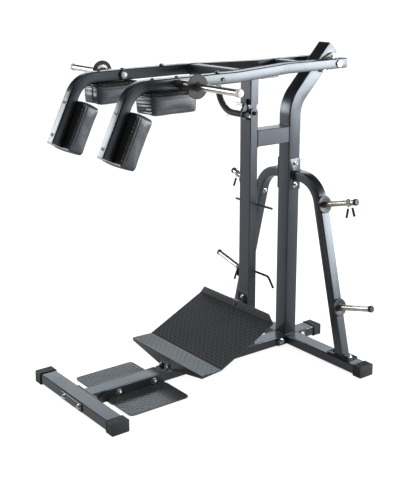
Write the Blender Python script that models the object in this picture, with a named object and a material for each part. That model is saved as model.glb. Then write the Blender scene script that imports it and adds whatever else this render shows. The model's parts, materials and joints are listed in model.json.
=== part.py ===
# Lever squat machine. Metres, +Z up, -Y is the front foot, +X is the user's side with the long hook.
# Places along the machine are written as s, counted from the front face of the front foot's caps.

import math

import bmesh
import bpy
from mathutils import Matrix, Vector

# Clearances
GAP = 0.0003
HOLE_CLEARANCE = 0.0005
SMALL_HOLE = 0.010
RUNNING_CLEARANCE = 0.0006
EMBED = 0.001

# Steel stock
WALL = 0.003
CORNER = 0.004
CHAMFER = 0.002
PLATE = 0.006
SHEET = 0.004

# End plugs of the mast and the arms
PLUG = 0.004
PLUG_RECESS = 0.001

# Base: front foot, beam and rear legs share one rectangular tube, laid flat
BASE_LENGTH = 1.535
BASE_WIDTH = 0.080
BASE_HEIGHT = 0.048
FOOT_HALF = 0.351
REAR_LEG_HALF = 0.585
REAR_LEG_FROM_END = 0.213
REAR_LEG_FLANGE = 0.207
REAR_LEG_BOLT_SPACING = 0.150
FRONT_FLANGE_HALF = 0.090
FRONT_BOLT_X = 0.065
CLAMP_INSET = 0.005
CLAMP_CHAMFER = 0.001

# Rubber end caps
CAP_LENGTH = 0.050
CAP_SIDE = 0.005
CAP_TOP = 0.004
CAP_FLOOR = 0.0067
CAP_END = 0.006
CAP_ROUND = 0.002

# Floor plates beside the beam
FLOOR_PLATE_START = 0.162
FLOOR_PLATE_LENGTH = 0.327
FLOOR_PLATE_WIDTH = 0.205
FLOOR_PLATE_CORNER = 0.020
FLOOR_BRACKET_THICKNESS = 0.005
FLOOR_BRACKET_FOOT = 0.045
FLOOR_BRACKET_NOSE = 0.048
FLOOR_BRACKET_NOSE_HEIGHT = 0.0246
FLOOR_BOLT_INSET = 0.065
FLOOR_BOLT_SPACING = 0.198

# Footplate, set out from the front upright's front face
FOOTPLATE_HALF = 0.293
FOOTPLATE_LIP_HALF = 0.260
FOOTPLATE_SKIRT_HALF = 0.046
FOOTPLATE_SKIRT_GAP = 0.0043
FOOTPLATE_LEDGE = 0.115
FOOTPLATE_SLOPE_RUN = 0.322
FOOTPLATE_LEDGE_HEIGHT = 0.112
FOOTPLATE_LEDGE_RISE = 0.004
FOOTPLATE_TOP_HEIGHT = 0.272
FOOTPLATE_LIP = 0.042
FOOTPLATE_BRACKET_DEPTH = 0.050
FOOTPLATE_BRACKET_RISE = 0.076
FOOTPLATE_BOLT_X = 0.024
FOOTPLATE_BOLT_RISE = 0.020
ANGLE_FOOT = 0.030
ANGLE_RISE = 0.034
ANGLE_INSET = 0.002
STRAP_INSET = 0.001
STRAP_BOLT_RISE = 0.045

# Uprights
UPRIGHT_WIDTH = 0.080
FRONT_UPRIGHT_DEPTH = 0.049
REAR_UPRIGHT_DEPTH = 0.0756
UPRIGHT_SPACING = 0.272
REAR_UPRIGHT_AHEAD = 0.0087
CHEEK_SLOT_DROP = 0.032
CHEEK_STEPS = 12
TIE_HEIGHT = 0.082
TIE_BELOW_PROP_BOLT = 0.087
MAST_BEND_HEIGHT = 1.230
MAST_BEND_RADIUS = 0.162
MAST_LEAN = math.radians(43.3)
MAST_STRAIGHT = 0.302

# Lever pivot, on the mast
PIVOT_FROM_MAST_END = 0.0825
PIVOT_BEHIND_CENTRE = 0.0190
SHAFT_RADIUS = 0.0125
SHAFT_CAP_RADIUS = 0.0180
SHAFT_CAP = 0.006
BEARING_THICKNESS = 0.035
BEARING_FLANGE = 0.014
BEARING_RADIUS = 0.034
BEARING_LOBE = 0.016
BEARING_LOBE_REACH = 0.045
BEARING_BOSS_FOOT = 0.0316
BEARING_BOSS_SHOULDER = 0.0272
BEARING_BOSS_TOP = 0.0252
BEARING_BOSS_ROUND = 0.003

# Lever arms, square tube
ARM_SIZE = 0.050
ARM_FRONT_X = 0.2175
ARM_REAR_X = 0.105
ARM_RISE = math.radians(0.77)
ARM_BEHIND_PIVOT = 0.053
KINK_REAR = 0.352
KINK_FRONT = 0.752
LEG_REACH = 1.4424
LEG_DROP = 0.3047
LEG_SLANT = math.radians(25.3)
LEG_BEND_RADIUS = 0.125
CROSS_FRONT_REACH = 0.688
CROSS_REAR_REACH = 0.237
LEG_CAP = 0.004
LEG_PLUG_DEPTH = 0.015

# Weight horns
HORN_REACH = 1.083
HORN_RADIUS = 0.015
HORN_TIP_X = 0.663
HORN_DISC_X = 0.378
HORN_DISC_RADIUS = 0.0525
HORN_DISC = 0.006
HORN_SLEEVE_RADIUS = 0.018
HORN_TIP_RADIUS = 0.019
HORN_TIP = 0.018
HORN_COLLAR_RADIUS = 0.021
HORN_COLLAR = 0.010

# Pads and the boards that carry them
PAD_HALF_WIDTH = 0.075
PAD_CORNER = 0.022
SHOULDER_PAD_LENGTH = 0.235
SHOULDER_PAD_THICKNESS = 0.084
SHOULDER_PAD_REACH = 1.1295
BACK_PAD_LENGTH = 0.239
BACK_PAD_THICKNESS = 0.081
BACK_PAD_UP_LEG = 0.112
BACK_PAD_DROP = 0.005
BOARD_INSET = 0.009
BOARD = 0.009
SPACER = 0.004
SPACER_RADIUS = 0.014
PAD_BOLT_SPACING = 0.160
PAD_BACK_INSET = 0.004
PAD_CORNER_STEPS = 4
# Rings of a cushion from its back: share of the thickness, and how far it draws in from the last ring
PAD_RINGS = (
    (0.10, -0.004),
    (0.34, 0.0024),
    (0.62, 0.0),
    (0.84, -0.0024),
    (0.93, 0.010),
    (0.975, 0.016),
    (1.0, 0.024),
)

# Prop between the front upright's cheeks and the rest plate
PROP_REACH = 0.181
PROP_TUBE_START = 0.042
PROP_CAP = 0.016
PROP_CAP_INSET = 0.002
PROP_CAP_STEPS = 6
PROP_FLOOR = 0.006
PROP_VENT_RADIUS = 0.005
TONGUE_CLEARANCE = 0.0015
TONGUE_THICKNESS = 0.006
TONGUE_RADIUS = 0.018
TONGUE_STEPS = 8
REST_PLATE = 0.008
REST_PLATE_HALF = 0.150
REST_PLATE_LENGTH = 0.110
REST_PLATE_CORNER = 0.006
PROP_BOLT_RADIUS = 0.008
LINK_THICKNESS = 0.008
LINK_X = 0.016
LINK_RADIUS = 0.0215
LINK_HEIGHT = 0.030
GRIP_RADIUS = 0.0155
GRIP_FORWARD = 0.0445
GRIP_BELOW = 0.005
GRIP_RIGHT_X = 0.040
GRIP_BEND_X = -0.070
GRIP_BEND_RADIUS = 0.118
GRIP_END_Z = 0.118

# Weight storage
STORAGE_DEPTH = 0.055
STORAGE_WIDTH = 0.050
STORAGE_BEHIND_UPRIGHT = 0.014
STORAGE_HEIGHT = 0.923
STORAGE_BEND_X = 0.087
STORAGE_BEND_RADIUS = 0.140
STORAGE_LEAN = math.radians(14)
STORAGE_FLANGE_LENGTH = 0.166
STORAGE_FLANGE_DEPTH = 0.074
STORAGE_BOLT_ABOVE = 0.061
STORAGE_BOLT_BELOW = 0.049
STORAGE_FOOT_LENGTH = 0.150
PEG_HEIGHTS = {"upper": 0.802, "lower": 0.295}
PEG_RADIUS = 0.0145
PEG_LENGTH = 0.228
PEG_DISC_RADIUS = 0.0445
PEG_DISC = 0.009
PEG_STUB = 0.040
PEG_CAP_RADIUS = 0.0165
PEG_CAP = 0.016

# Spring collars: which peg, and how far the coil starts from the disc
COLLARS = (("right", "upper", 0.155), ("left", "upper", 0.155), ("left", "lower", 0.012))
COLLAR_WIRE_RADIUS = 0.0020
COLLAR_TURNS = 4
COLLAR_POINTS = 10
COLLAR_PITCH = 0.0062
COLLAR_TAIL = 0.012
COLLAR_GRIP = 0.042
COLLAR_GRIP_RADIUS = 0.0046
COLLAR_GRIP_TIP = 0.002
COLLAR_GRIP_TIP_SHARE = 0.7
COLLAR_SHOULDER = 0.001

# Small rods behind the front upright
ROD_RADIUS = 0.006
ROD_STANDOFF = 0.012
ROD_BLOCK = 0.036
ROD_BLOCK_HEIGHT = 0.016
BAND_ROD_HEIGHT = 0.801
BAND_ROD_HALF = 0.140
HOOK_HEIGHT = 0.445
HOOK_RUN = 0.105
HOOK_SHORT_END = 0.020
HOOK_BEND_RADIUS = 0.030
HOOK_TURN = math.radians(52)
HOOK_END = 0.050

# Bolts
BOLT_RADIUS = 0.005
BOLT_HEAD_RADIUS = 0.0095
BOLT_HEAD = 0.0055
BOLT_DOME = ((1.0, 0.0), (0.93, 0.50), (0.62, 0.88), (0.0, 1.0))
BOLT_SIDES = 10
ROUND_SIDES = 18
CORNER_STEPS = 2
BEND_STEPS = 7

# Worked out from the above
BEAM_BOTTOM = GAP + CAP_FLOOR
BEAM_TOP = BEAM_BOTTOM + BASE_HEIGHT
BEAM_MIDDLE = BEAM_BOTTOM + BASE_HEIGHT / 2
FOOT_FRONT = CAP_SIDE + GAP
FOOT_MIDDLE = FOOT_FRONT + BASE_WIDTH / 2
BEAM_FRONT = FOOT_FRONT + BASE_WIDTH + GAP
REAR_LEG_S = BASE_LENGTH - REAR_LEG_FROM_END
REAR_UPRIGHT_S = REAR_LEG_S - REAR_UPRIGHT_AHEAD
FRONT_UPRIGHT_S = REAR_UPRIGHT_S - UPRIGHT_SPACING
FRONT_UPRIGHT_FACE = FRONT_UPRIGHT_S - FRONT_UPRIGHT_DEPTH / 2
MAST_DIRECTION = Vector((0, math.sin(MAST_LEAN), math.cos(MAST_LEAN)))
MAST_REARWARD = Vector((0, math.cos(MAST_LEAN), -math.sin(MAST_LEAN)))
MAST_END = (
    Vector((0, REAR_UPRIGHT_S + MAST_BEND_RADIUS, MAST_BEND_HEIGHT))
    - MAST_BEND_RADIUS * MAST_REARWARD
    + MAST_STRAIGHT * MAST_DIRECTION
)
PIVOT = MAST_END - PIVOT_FROM_MAST_END * MAST_DIRECTION + PIVOT_BEHIND_CENTRE * MAST_REARWARD
MAST_REAR_CORNER = MAST_END + REAR_UPRIGHT_DEPTH / 2 * MAST_REARWARD
REARMOST = max(MAST_REAR_CORNER.y, BASE_LENGTH)
FRONTMOST = EMBED - BOLT_HEAD
MIDDLE_S = (FRONTMOST + REARMOST) / 2
ARM_BACKWARD = Vector((0, math.cos(ARM_RISE), math.sin(ARM_RISE)))
ARM_UPWARD = Vector((0, -math.sin(ARM_RISE), math.cos(ARM_RISE)))
LEG_UPWARD = Vector((0, math.sin(LEG_SLANT), math.cos(LEG_SLANT)))
LEG_REARWARD = Vector((0, math.cos(LEG_SLANT), -math.sin(LEG_SLANT)))
LEG_FOOT = Vector((0, -LEG_REACH, -LEG_DROP))
LEG_TURN = math.pi / 2 - LEG_SLANT - ARM_RISE
SHAFT_HALF = ARM_REAR_X + ARM_SIZE / 2 + GAP

MATERIALS = {
    "frame_steel": ((0.075, 0.080, 0.085), 0.42, 0.35),
    "black_steel": ((0.018, 0.018, 0.020), 0.45, 0.20),
    "rubber": ((0.012, 0.012, 0.013), 0.75, 0.0),
    "checker_steel": ((0.060, 0.064, 0.068), 0.50, 0.40),
    "chrome": ((0.80, 0.78, 0.74), 0.12, 1.0),
    "zinc": ((0.62, 0.62, 0.60), 0.32, 1.0),
    "cast_iron": ((0.22, 0.25, 0.23), 0.55, 0.30),
    "board": ((0.012, 0.012, 0.012), 0.60, 0.0),
    "vinyl": ((0.065, 0.070, 0.078), 0.48, 0.0),
}


# Scene helpers
def clear_scene():
    for obj in list(bpy.data.objects):
        bpy.data.objects.remove(obj)


def material(name):
    found = bpy.data.materials.get(name)
    if found:
        return found
    colour, roughness, metallic = MATERIALS[name]
    made = bpy.data.materials.new(name)
    made.use_nodes = True
    shader = made.node_tree.nodes["Principled BSDF"]
    shader.inputs["Base Color"].default_value = (*colour, 1)
    shader.inputs["Roughness"].default_value = roughness
    shader.inputs["Metallic"].default_value = metallic
    return made


def at(x, s, z):
    return Vector((x, s - MIDDLE_S, z))


def axis_empty(name, where):
    empty = bpy.data.objects.new(name, None)
    empty.location = where
    empty.empty_display_size = 0.05
    bpy.context.scene.collection.objects.link(empty)
    return empty


def add_object(name, bm, place):
    bmesh.ops.recalc_face_normals(bm, faces=bm.faces)
    mesh = bpy.data.meshes.new(name)
    bm.to_mesh(mesh)
    bm.free()
    mesh.shade_smooth()
    mesh.set_sharp_from_angle(angle=math.radians(35))
    obj = bpy.data.objects.new(name, mesh)
    obj.matrix_world = place
    bpy.context.scene.collection.objects.link(obj)
    return obj


def add_part(name, bm, finish, place=None, parent=None):
    obj = add_object(name, bm, place or Matrix())
    obj.data.materials.append(material(finish))
    if parent:
        obj.parent = parent
        obj.matrix_parent_inverse = parent.matrix_basis.inverted()
    return obj


def add_boolean(obj, bm, operation, place):
    helper = add_object(f"{obj.name}_{operation.lower()}", bm, place)
    helper.hide_render = True
    helper.display_type = "WIRE"
    modifier = obj.modifiers.new(operation.lower(), "BOOLEAN")
    modifier.operation = operation
    modifier.solver = "EXACT"
    modifier.object = helper
    if obj.parent:
        helper.parent = obj.parent
        helper.matrix_parent_inverse = obj.matrix_parent_inverse


# Placing matrices: an extrusion runs along local +Z
def along_x(where):
    return Matrix.Translation(where) @ Matrix(((0, 0, 1, 0), (1, 0, 0, 0), (0, 1, 0, 0), (0, 0, 0, 1)))


def along_minus_x(where):
    return Matrix.Translation(where) @ Matrix(((0, 0, -1, 0), (-1, 0, 0, 0), (0, 1, 0, 0), (0, 0, 0, 1)))


def along_y(where):
    return Matrix.Translation(where) @ Matrix(((-1, 0, 0, 0), (0, 0, 1, 0), (0, 1, 0, 0), (0, 0, 0, 1)))


def along_minus_y(where):
    return Matrix.Translation(where) @ Matrix(((1, 0, 0, 0), (0, 0, -1, 0), (0, 1, 0, 0), (0, 0, 0, 1)))


def along_side(where, side):
    return along_x(where) if side > 0 else along_minus_x(where)


def facing(where, direction, sideways=Vector((1, 0, 0))):
    # Local +Z along direction, local +X along sideways
    forward = direction.normalized()
    across = (sideways - sideways.dot(forward) * forward).normalized()
    upward = forward.cross(across)
    turned = Matrix((across, upward, forward)).transposed().to_4x4()
    return Matrix.Translation(where) @ turned


# Mesh helpers
def outline(bm, width, depth, corner, steps=CORNER_STEPS):
    made = bmesh.ops.create_grid(bm, x_segments=1, y_segments=1, size=0.5)
    bmesh.ops.scale(bm, vec=(width, depth, 1), verts=made["verts"])
    if corner:
        bmesh.ops.bevel(
            bm,
            geom=made["verts"],
            offset=corner,
            offset_type="OFFSET",
            segments=steps,
            profile=0.5,
            affect="VERTICES",
        )
    return bm.faces[:]


def ring(bm, width, depth, wall=WALL, corner=CORNER):
    middle = outline(bm, width, depth, corner)
    bmesh.ops.inset_region(bm, faces=middle, thickness=wall, use_boundary=True, use_even_offset=True)
    bmesh.ops.delete(bm, geom=middle, context="FACES_ONLY")
    return bm.faces[:]


def points_of(faces):
    return list({point for face in faces for point in face.verts})


def region_of(faces):
    edges = list({edge for face in faces for edge in face.edges})
    return faces + edges + points_of(faces)


def extrude(bm, faces, step):
    # The first extrusion of a region keeps it as the closed start, and each later one moves on
    made = bmesh.ops.extrude_face_region(bm, geom=region_of(faces))["geom"]
    bmesh.ops.translate(bm, vec=step, verts=[item for item in made if isinstance(item, bmesh.types.BMVert)])
    return [item for item in made if isinstance(item, bmesh.types.BMFace)]


def slide_to_plane(faces, heading, point, normal):
    for corner in points_of(faces):
        corner.co += heading * ((point - corner.co).dot(normal) / heading.dot(normal))


def extrude_to(bm, faces, heading, point, normal=None):
    grown = extrude(bm, faces, (0, 0, 0))
    slide_to_plane(grown, heading, point, normal or heading)
    return grown


def bend(bm, faces, centre, axis, angle, steps=BEND_STEPS):
    made = bmesh.ops.spin(
        bm,
        geom=region_of(faces),
        cent=centre,
        axis=axis,
        angle=angle,
        steps=steps,
    )["geom_last"]
    return [item for item in made if isinstance(item, bmesh.types.BMFace)]


def straight_tube(width, depth, length, wall=WALL, corner=CORNER):
    bm = bmesh.new()
    extrude(bm, ring(bm, width, depth, wall, corner), (0, 0, length))
    return bm


def bevel_edges(bm, edges, width, steps=1):
    bmesh.ops.bevel(
        bm,
        geom=edges,
        offset=width,
        offset_type="OFFSET",
        segments=steps,
        profile=0.5,
        affect="EDGES",
    )


def block(bm, low, high):
    size = Vector(high) - Vector(low)
    middle = (Vector(high) + Vector(low)) / 2
    place = Matrix.Translation(middle) @ Matrix.Diagonal((*size, 1))
    return bmesh.ops.create_cube(bm, size=1, matrix=place)["verts"]


def plate(width, depth, thickness, corner):
    bm = bmesh.new()
    extrude(bm, outline(bm, width, depth, corner), (0, 0, thickness))
    return bm


def cylinder(bm, centre, direction, radius, length, sides=ROUND_SIDES):
    place = facing(centre, direction, Vector((0, 1, 0)) if abs(direction.x) > 0.9 else Vector((1, 0, 0)))
    return bmesh.ops.create_cone(
        bm,
        cap_ends=True,
        segments=sides,
        radius1=radius,
        radius2=radius,
        depth=length,
        matrix=place,
    )["verts"]


def wrap(bm):
    # Leaves only the convex hull of the points
    bmesh.ops.delete(bm, geom=bm.edges[:], context="EDGES_FACES")
    hull = bmesh.ops.convex_hull(bm, input=bm.verts)
    spare = {item for key in ("geom_interior", "geom_unused") for item in hull[key]}
    spare = [item for item in spare if isinstance(item, bmesh.types.BMVert)]
    bmesh.ops.delete(bm, geom=spare, context="VERTS")


def lathe(bm, profile, sides=ROUND_SIDES, place=None):
    # profile is radius and height from the bottom to the top, closed on the axis
    corners = [bm.verts.new((radius, 0, height)) for radius, height in profile]
    edges = [bm.edges.new(pair) for pair in zip(corners, corners[1:])]
    before = set(bm.verts) - set(corners)
    bmesh.ops.spin(
        bm,
        geom=corners + edges,
        cent=(0, 0, 0),
        axis=(0, 0, 1),
        angle=2 * math.pi,
        steps=sides,
        use_merge=True,
    )
    made = [corner for corner in bm.verts if corner not in before]
    bmesh.ops.remove_doubles(bm, verts=made, dist=1e-6)
    made = [corner for corner in bm.verts if corner not in before]
    if place:
        bmesh.ops.transform(bm, matrix=place, verts=made)
    return bm


def dome(base, up=1):
    # Profile of a domed bolt head, from its rim to its crown
    return [(BOLT_HEAD_RADIUS * wide, base + up * BOLT_HEAD * tall) for wide, tall in BOLT_DOME]


def through_bolt(bm, grip, radius=BOLT_RADIUS, place=None):
    # Runs along +Z from a domed nut under z = 0 to a domed head over z = grip
    under = dome(-GAP, -1)[::-1]
    over = dome(grip + GAP)
    return lathe(bm, [*under, (radius, -GAP), (radius, grip + GAP), *over], BOLT_SIDES, place)


def drill(obj, holes):
    # holes: middle, direction, radius and length of each cutter
    bm = bmesh.new()
    for middle, direction, radius, length in holes:
        cylinder(bm, middle, direction, radius, length, BOLT_SIDES if radius < SMALL_HOLE else ROUND_SIDES)
    add_boolean(obj, bm, "DIFFERENCE", Matrix())


def add_plug(obj, width, depth, place):
    # Closes a tube's end from inside: local +Z points out of the tube
    inner = Matrix.Translation((0, 0, -PLUG - PLUG_RECESS))
    add_boolean(obj, plate(width - WALL, depth - WALL, PLUG, 0), "UNION", place @ inner)


# Base
def make_cap(name, place):
    # A cup over the tube's end: local +Z points out of the tube, local -Y is down
    tall = BASE_HEIGHT + 2 * GAP + CAP_TOP + CAP_FLOOR
    depth = CAP_LENGTH - CAP_END
    bm = bmesh.new()
    outer = outline(bm, BASE_WIDTH + 2 * (GAP + CAP_SIDE), tall, CORNER + CAP_SIDE)
    bmesh.ops.translate(bm, vec=(0, (CAP_TOP - CAP_FLOOR) / 2, -depth), verts=bm.verts)
    end = extrude(bm, outer, (0, 0, CAP_LENGTH))[0]
    bevel_edges(bm, list(end.edges), CAP_ROUND, 2)
    mouth = min(bm.faces, key=lambda face: face.calc_center_median().z)
    bmesh.ops.inset_region(bm, faces=[mouth], thickness=CAP_SIDE, use_boundary=True, use_even_offset=True)
    points = list(mouth.verts)
    low = min(point.co.y for point in points)
    high = max(point.co.y for point in points)
    for point in points:
        point.co.y = (point.co.y - (low + high) / 2) * (BASE_HEIGHT + 2 * GAP) / (high - low)
    extrude(bm, [mouth], (0, 0, depth))
    add_part(name, bm, "rubber", place)


def make_front_foot():
    half = FOOT_HALF - CAP_END - GAP
    foot = add_part(
        "front_foot",
        straight_tube(BASE_WIDTH, BASE_HEIGHT, 2 * half),
        "frame_steel",
        along_x(at(-half, FOOT_MIDDLE, BEAM_MIDDLE)),
    )
    drill(
        foot,
        [
            (at(x, FOOT_MIDDLE, BEAM_MIDDLE), Vector((0, 1, 0)), BOLT_RADIUS + HOLE_CLEARANCE, 2 * BASE_WIDTH)
            for x in (-FRONT_BOLT_X, FRONT_BOLT_X)
        ],
    )
    for name, side in (("left", -1), ("right", 1)):
        end = at(side * (half + GAP), FOOT_MIDDLE, BEAM_MIDDLE)
        make_cap(f"front_foot_cap_{name}", along_side(end, side))


def make_front_foot_bolts():
    # Clamp plate in front of the foot with its two bolts, which pass through the foot and the beam's flange
    bm = bmesh.new()
    low = (-FRONT_FLANGE_HALF, 0, BEAM_BOTTOM + CLAMP_INSET)
    block(bm, low, (FRONT_FLANGE_HALF, CAP_SIDE, BEAM_TOP - CLAMP_INSET))
    bmesh.ops.translate(bm, vec=at(0, 0, 0), verts=bm.verts)
    bevel_edges(bm, bm.edges[:], CLAMP_CHAMFER)
    clamp = add_part("front_foot_bolts", bm, "black_steel")
    rear = BEAM_FRONT + PLATE
    bolts = bmesh.new()
    for x in (-FRONT_BOLT_X, FRONT_BOLT_X):
        through_bolt(bolts, rear - GAP - EMBED, BOLT_RADIUS, along_minus_y(at(x, rear, BEAM_MIDDLE)))
    add_boolean(clamp, bolts, "UNION", Matrix())


def make_beam():
    start = BEAM_FRONT + PLATE / 2
    end = BASE_LENGTH - CAP_END - GAP
    beam = add_part(
        "base_beam",
        straight_tube(BASE_WIDTH, BASE_HEIGHT, end - start),
        "frame_steel",
        along_minus_y(at(0, end, BEAM_MIDDLE)),
    )
    add_boolean(
        beam,
        plate(2 * FRONT_FLANGE_HALF, BASE_HEIGHT, PLATE, CORNER),
        "UNION",
        along_minus_y(at(0, BEAM_FRONT + PLATE, BEAM_MIDDLE)),
    )
    across = Vector((1, 0, 0))
    radius = BOLT_RADIUS + HOLE_CLEARANCE
    holes = [(at(0, s, BEAM_MIDDLE), across, radius, 2 * BASE_WIDTH) for s in beam_bolt_places().values()]
    for x in (-FRONT_BOLT_X, FRONT_BOLT_X):
        holes.append((at(x, BEAM_FRONT, BEAM_MIDDLE), Vector((0, 1, 0)), radius, 8 * PLATE))
    drill(beam, holes)
    make_cap("base_beam_cap", along_y(at(0, end + GAP, BEAM_MIDDLE)))


def beam_bolt_places():
    floor = FLOOR_PLATE_START + FLOOR_BOLT_INSET
    return {
        "floor_plate_bolt_front": floor,
        "floor_plate_bolt_rear": floor + FLOOR_BOLT_SPACING,
        "rear_leg_bolt_front": REAR_LEG_S - REAR_LEG_BOLT_SPACING / 2,
        "rear_leg_bolt_rear": REAR_LEG_S + REAR_LEG_BOLT_SPACING / 2,
    }


def make_beam_bolts():
    for name, s in beam_bolt_places().items():
        thick = PLATE if name.startswith("rear") else FLOOR_BRACKET_THICKNESS
        half = BASE_WIDTH / 2 + GAP + thick
        bm = through_bolt(bmesh.new(), 2 * half)
        add_part(name, bm, "zinc", along_x(at(-half, s, BEAM_MIDDLE)))


def make_rear_legs():
    inner = BASE_WIDTH / 2 + GAP
    end = REAR_LEG_HALF - CAP_END - GAP
    for name, side in (("left", -1), ("right", 1)):
        leg = add_part(
            f"rear_leg_{name}",
            straight_tube(BASE_WIDTH, BASE_HEIGHT, end - inner - PLATE / 2),
            "frame_steel",
            along_side(at(side * (inner + PLATE / 2), REAR_LEG_S, BEAM_MIDDLE), side),
        )
        add_boolean(
            leg,
            plate(REAR_LEG_FLANGE, BASE_HEIGHT, PLATE, CORNER),
            "UNION",
            along_side(at(side * inner, REAR_LEG_S, BEAM_MIDDLE), side),
        )
        drill(
            leg,
            [
                (at(side * inner, s, BEAM_MIDDLE), Vector((1, 0, 0)), BOLT_RADIUS + HOLE_CLEARANCE, 8 * PLATE)
                for s in (REAR_LEG_S - REAR_LEG_BOLT_SPACING / 2, REAR_LEG_S + REAR_LEG_BOLT_SPACING / 2)
            ],
        )
        make_cap(f"rear_leg_cap_{name}", along_side(at(side * (end + GAP), REAR_LEG_S, BEAM_MIDDLE), side))


def make_floor_plates():
    inner = BASE_WIDTH / 2 + GAP
    start = inner + FLOOR_BRACKET_THICKNESS + GAP
    low = FLOOR_BRACKET_THICKNESS + 2 * GAP
    bolts = list(beam_bolt_places().values())[:2]
    for name, side in (("left", -1), ("right", 1)):
        sheet = plate(FLOOR_PLATE_WIDTH, FLOOR_PLATE_LENGTH, PLATE, FLOOR_PLATE_CORNER)
        middle = at(side * (start + FLOOR_PLATE_WIDTH / 2), FLOOR_PLATE_START + FLOOR_PLATE_LENGTH / 2, low)
        add_part(f"floor_plate_{name}", sheet, "checker_steel", Matrix.Translation(middle))
        bm = bmesh.new()
        # Upright leaf, its top edge sloping down to the nose in front
        rear = FLOOR_PLATE_START + FLOOR_PLATE_LENGTH
        front = FLOOR_PLATE_START
        nose = front - FLOOR_BRACKET_NOSE
        height = BEAM_TOP - GAP
        leaf = [(nose, GAP), (rear, GAP), (rear, height), (front, height), (nose, FLOOR_BRACKET_NOSE_HEIGHT)]
        corners = [bm.verts.new(at(side * inner, s, z)) for s, z in leaf]
        extrude(bm, [bm.faces.new(corners)], (side * FLOOR_BRACKET_THICKNESS, 0, 0))
        bracket = add_part(f"floor_plate_bracket_{name}", bm, "black_steel")
        foot = bmesh.new()
        near = side * (inner + FLOOR_BRACKET_THICKNESS / 2)
        far = side * (start + FLOOR_BRACKET_FOOT)
        block(foot, at(min(near, far), front, GAP), at(max(near, far), rear, GAP + FLOOR_BRACKET_THICKNESS))
        add_boolean(bracket, foot, "UNION", Matrix())
        drill(
            bracket,
            [
                (at(side * inner, s, BEAM_MIDDLE), Vector((1, 0, 0)), BOLT_RADIUS + HOLE_CLEARANCE, 8 * PLATE)
                for s in bolts
            ],
        )


# Footplate
def add_sheet(name, rows, thickness, finish):
    # rows: half width, s and height of each fold line of a bent sheet, along its middle surface
    bm = bmesh.new()
    lines = [[bm.verts.new(at(x, s, z)) for x in (-half, half)] for half, s, z in rows]
    for first, second in zip(lines, lines[1:]):
        bm.faces.new((first[0], first[1], second[1], second[0]))
    obj = add_part(name, bm, finish)
    modifier = obj.modifiers.new("sheet", "SOLIDIFY")
    modifier.thickness = thickness
    modifier.offset = 0
    modifier.use_even_offset = True
    return obj


def footplate_places():
    lip = FRONT_UPRIGHT_FACE - GAP - FOOTPLATE_BRACKET_DEPTH - GAP - SHEET / 2
    bend_s = lip - FOOTPLATE_SLOPE_RUN
    return lip, bend_s, bend_s - FOOTPLATE_LEDGE


def make_footplate():
    lip, bend_s, front = footplate_places()
    ledge = FOOTPLATE_LEDGE_HEIGHT - SHEET / 2
    top = FOOTPLATE_TOP_HEIGHT - SHEET / 2
    rows = [
        (FOOTPLATE_SKIRT_HALF, front, BEAM_TOP + FOOTPLATE_SKIRT_GAP),
        (FOOTPLATE_HALF, front, ledge),
        (FOOTPLATE_HALF, bend_s, ledge + FOOTPLATE_LEDGE_RISE),
        (FOOTPLATE_HALF, lip, top),
        (FOOTPLATE_LIP_HALF, lip, top + FOOTPLATE_LIP),
    ]
    sheet = add_sheet("footplate", rows, SHEET, "checker_steel")
    skirt_bolt = footplate_bolt_height()
    lip_bolt = top + FOOTPLATE_LIP / 2
    along = Vector((0, 1, 0))
    radius = BOLT_RADIUS + HOLE_CLEARANCE
    holes = [(at(0, lip, lip_bolt), along, radius, 8 * SHEET)]
    for x in (-FOOTPLATE_BOLT_X, FOOTPLATE_BOLT_X):
        holes.append((at(x, front, skirt_bolt), along, radius, 8 * SHEET))
    drill(sheet, holes)


def footplate_bolt_height():
    return BEAM_TOP + FOOTPLATE_BOLT_RISE


def make_footplate_front_bracket():
    # Angle on the beam in front of the skirt, with two bolts through it
    _, _, front = footplate_places()
    back = front - SHEET / 2 - GAP
    half = BASE_WIDTH / 2 - ANGLE_INSET
    bm = bmesh.new()
    section = [
        (0, 0),
        (-ANGLE_FOOT, 0),
        (-ANGLE_FOOT, SHEET),
        (-SHEET, SHEET),
        (-SHEET, ANGLE_RISE),
        (0, ANGLE_RISE),
    ]
    corners = [bm.verts.new(at(-half, back + s, BEAM_TOP + GAP + z)) for s, z in section]
    extrude(bm, [bm.faces.new(corners)], (2 * half, 0, 0))
    bracket = add_part("footplate_front_bracket", bm, "black_steel")
    bolts = bmesh.new()
    rear = front + SHEET / 2
    for x in (-FOOTPLATE_BOLT_X, FOOTPLATE_BOLT_X):
        place = along_minus_y(at(x, rear, footplate_bolt_height()))
        through_bolt(bolts, rear - back + SHEET - GAP - EMBED, BOLT_RADIUS, place)
    add_boolean(bracket, bolts, "UNION", Matrix())


def make_footplate_rear_bracket():
    # U-shaped strap between the footplate's upstand and the front upright
    lip, _, _ = footplate_places()
    rear = FRONT_UPRIGHT_FACE - GAP - SHEET / 2
    front = lip + SHEET / 2 + GAP + SHEET / 2
    low = FOOTPLATE_TOP_HEIGHT - SHEET / 2
    half = UPRIGHT_WIDTH / 2 - STRAP_INSET
    rows = [
        (half, front, low + FOOTPLATE_LIP),
        (half, front, low),
        (half, rear, low),
        (half, rear, low + FOOTPLATE_BRACKET_RISE),
    ]
    bracket = add_sheet("footplate_rear_bracket", rows, SHEET, "black_steel")
    lip_bolt = low + FOOTPLATE_LIP / 2
    bolts = bmesh.new()
    grip = front + SHEET / 2 - (lip - SHEET / 2)
    through_bolt(bolts, grip, BOLT_RADIUS, along_minus_y(at(0, front + SHEET / 2, lip_bolt)))
    grip = SHEET + WALL - EMBED
    inside = FRONT_UPRIGHT_FACE + WALL
    through_bolt(bolts, grip, BOLT_RADIUS, along_minus_y(at(0, inside, upright_bolt_height())))
    add_boolean(bracket, bolts, "UNION", Matrix())


def upright_bolt_height():
    return FOOTPLATE_TOP_HEIGHT + STRAP_BOLT_RISE


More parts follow.
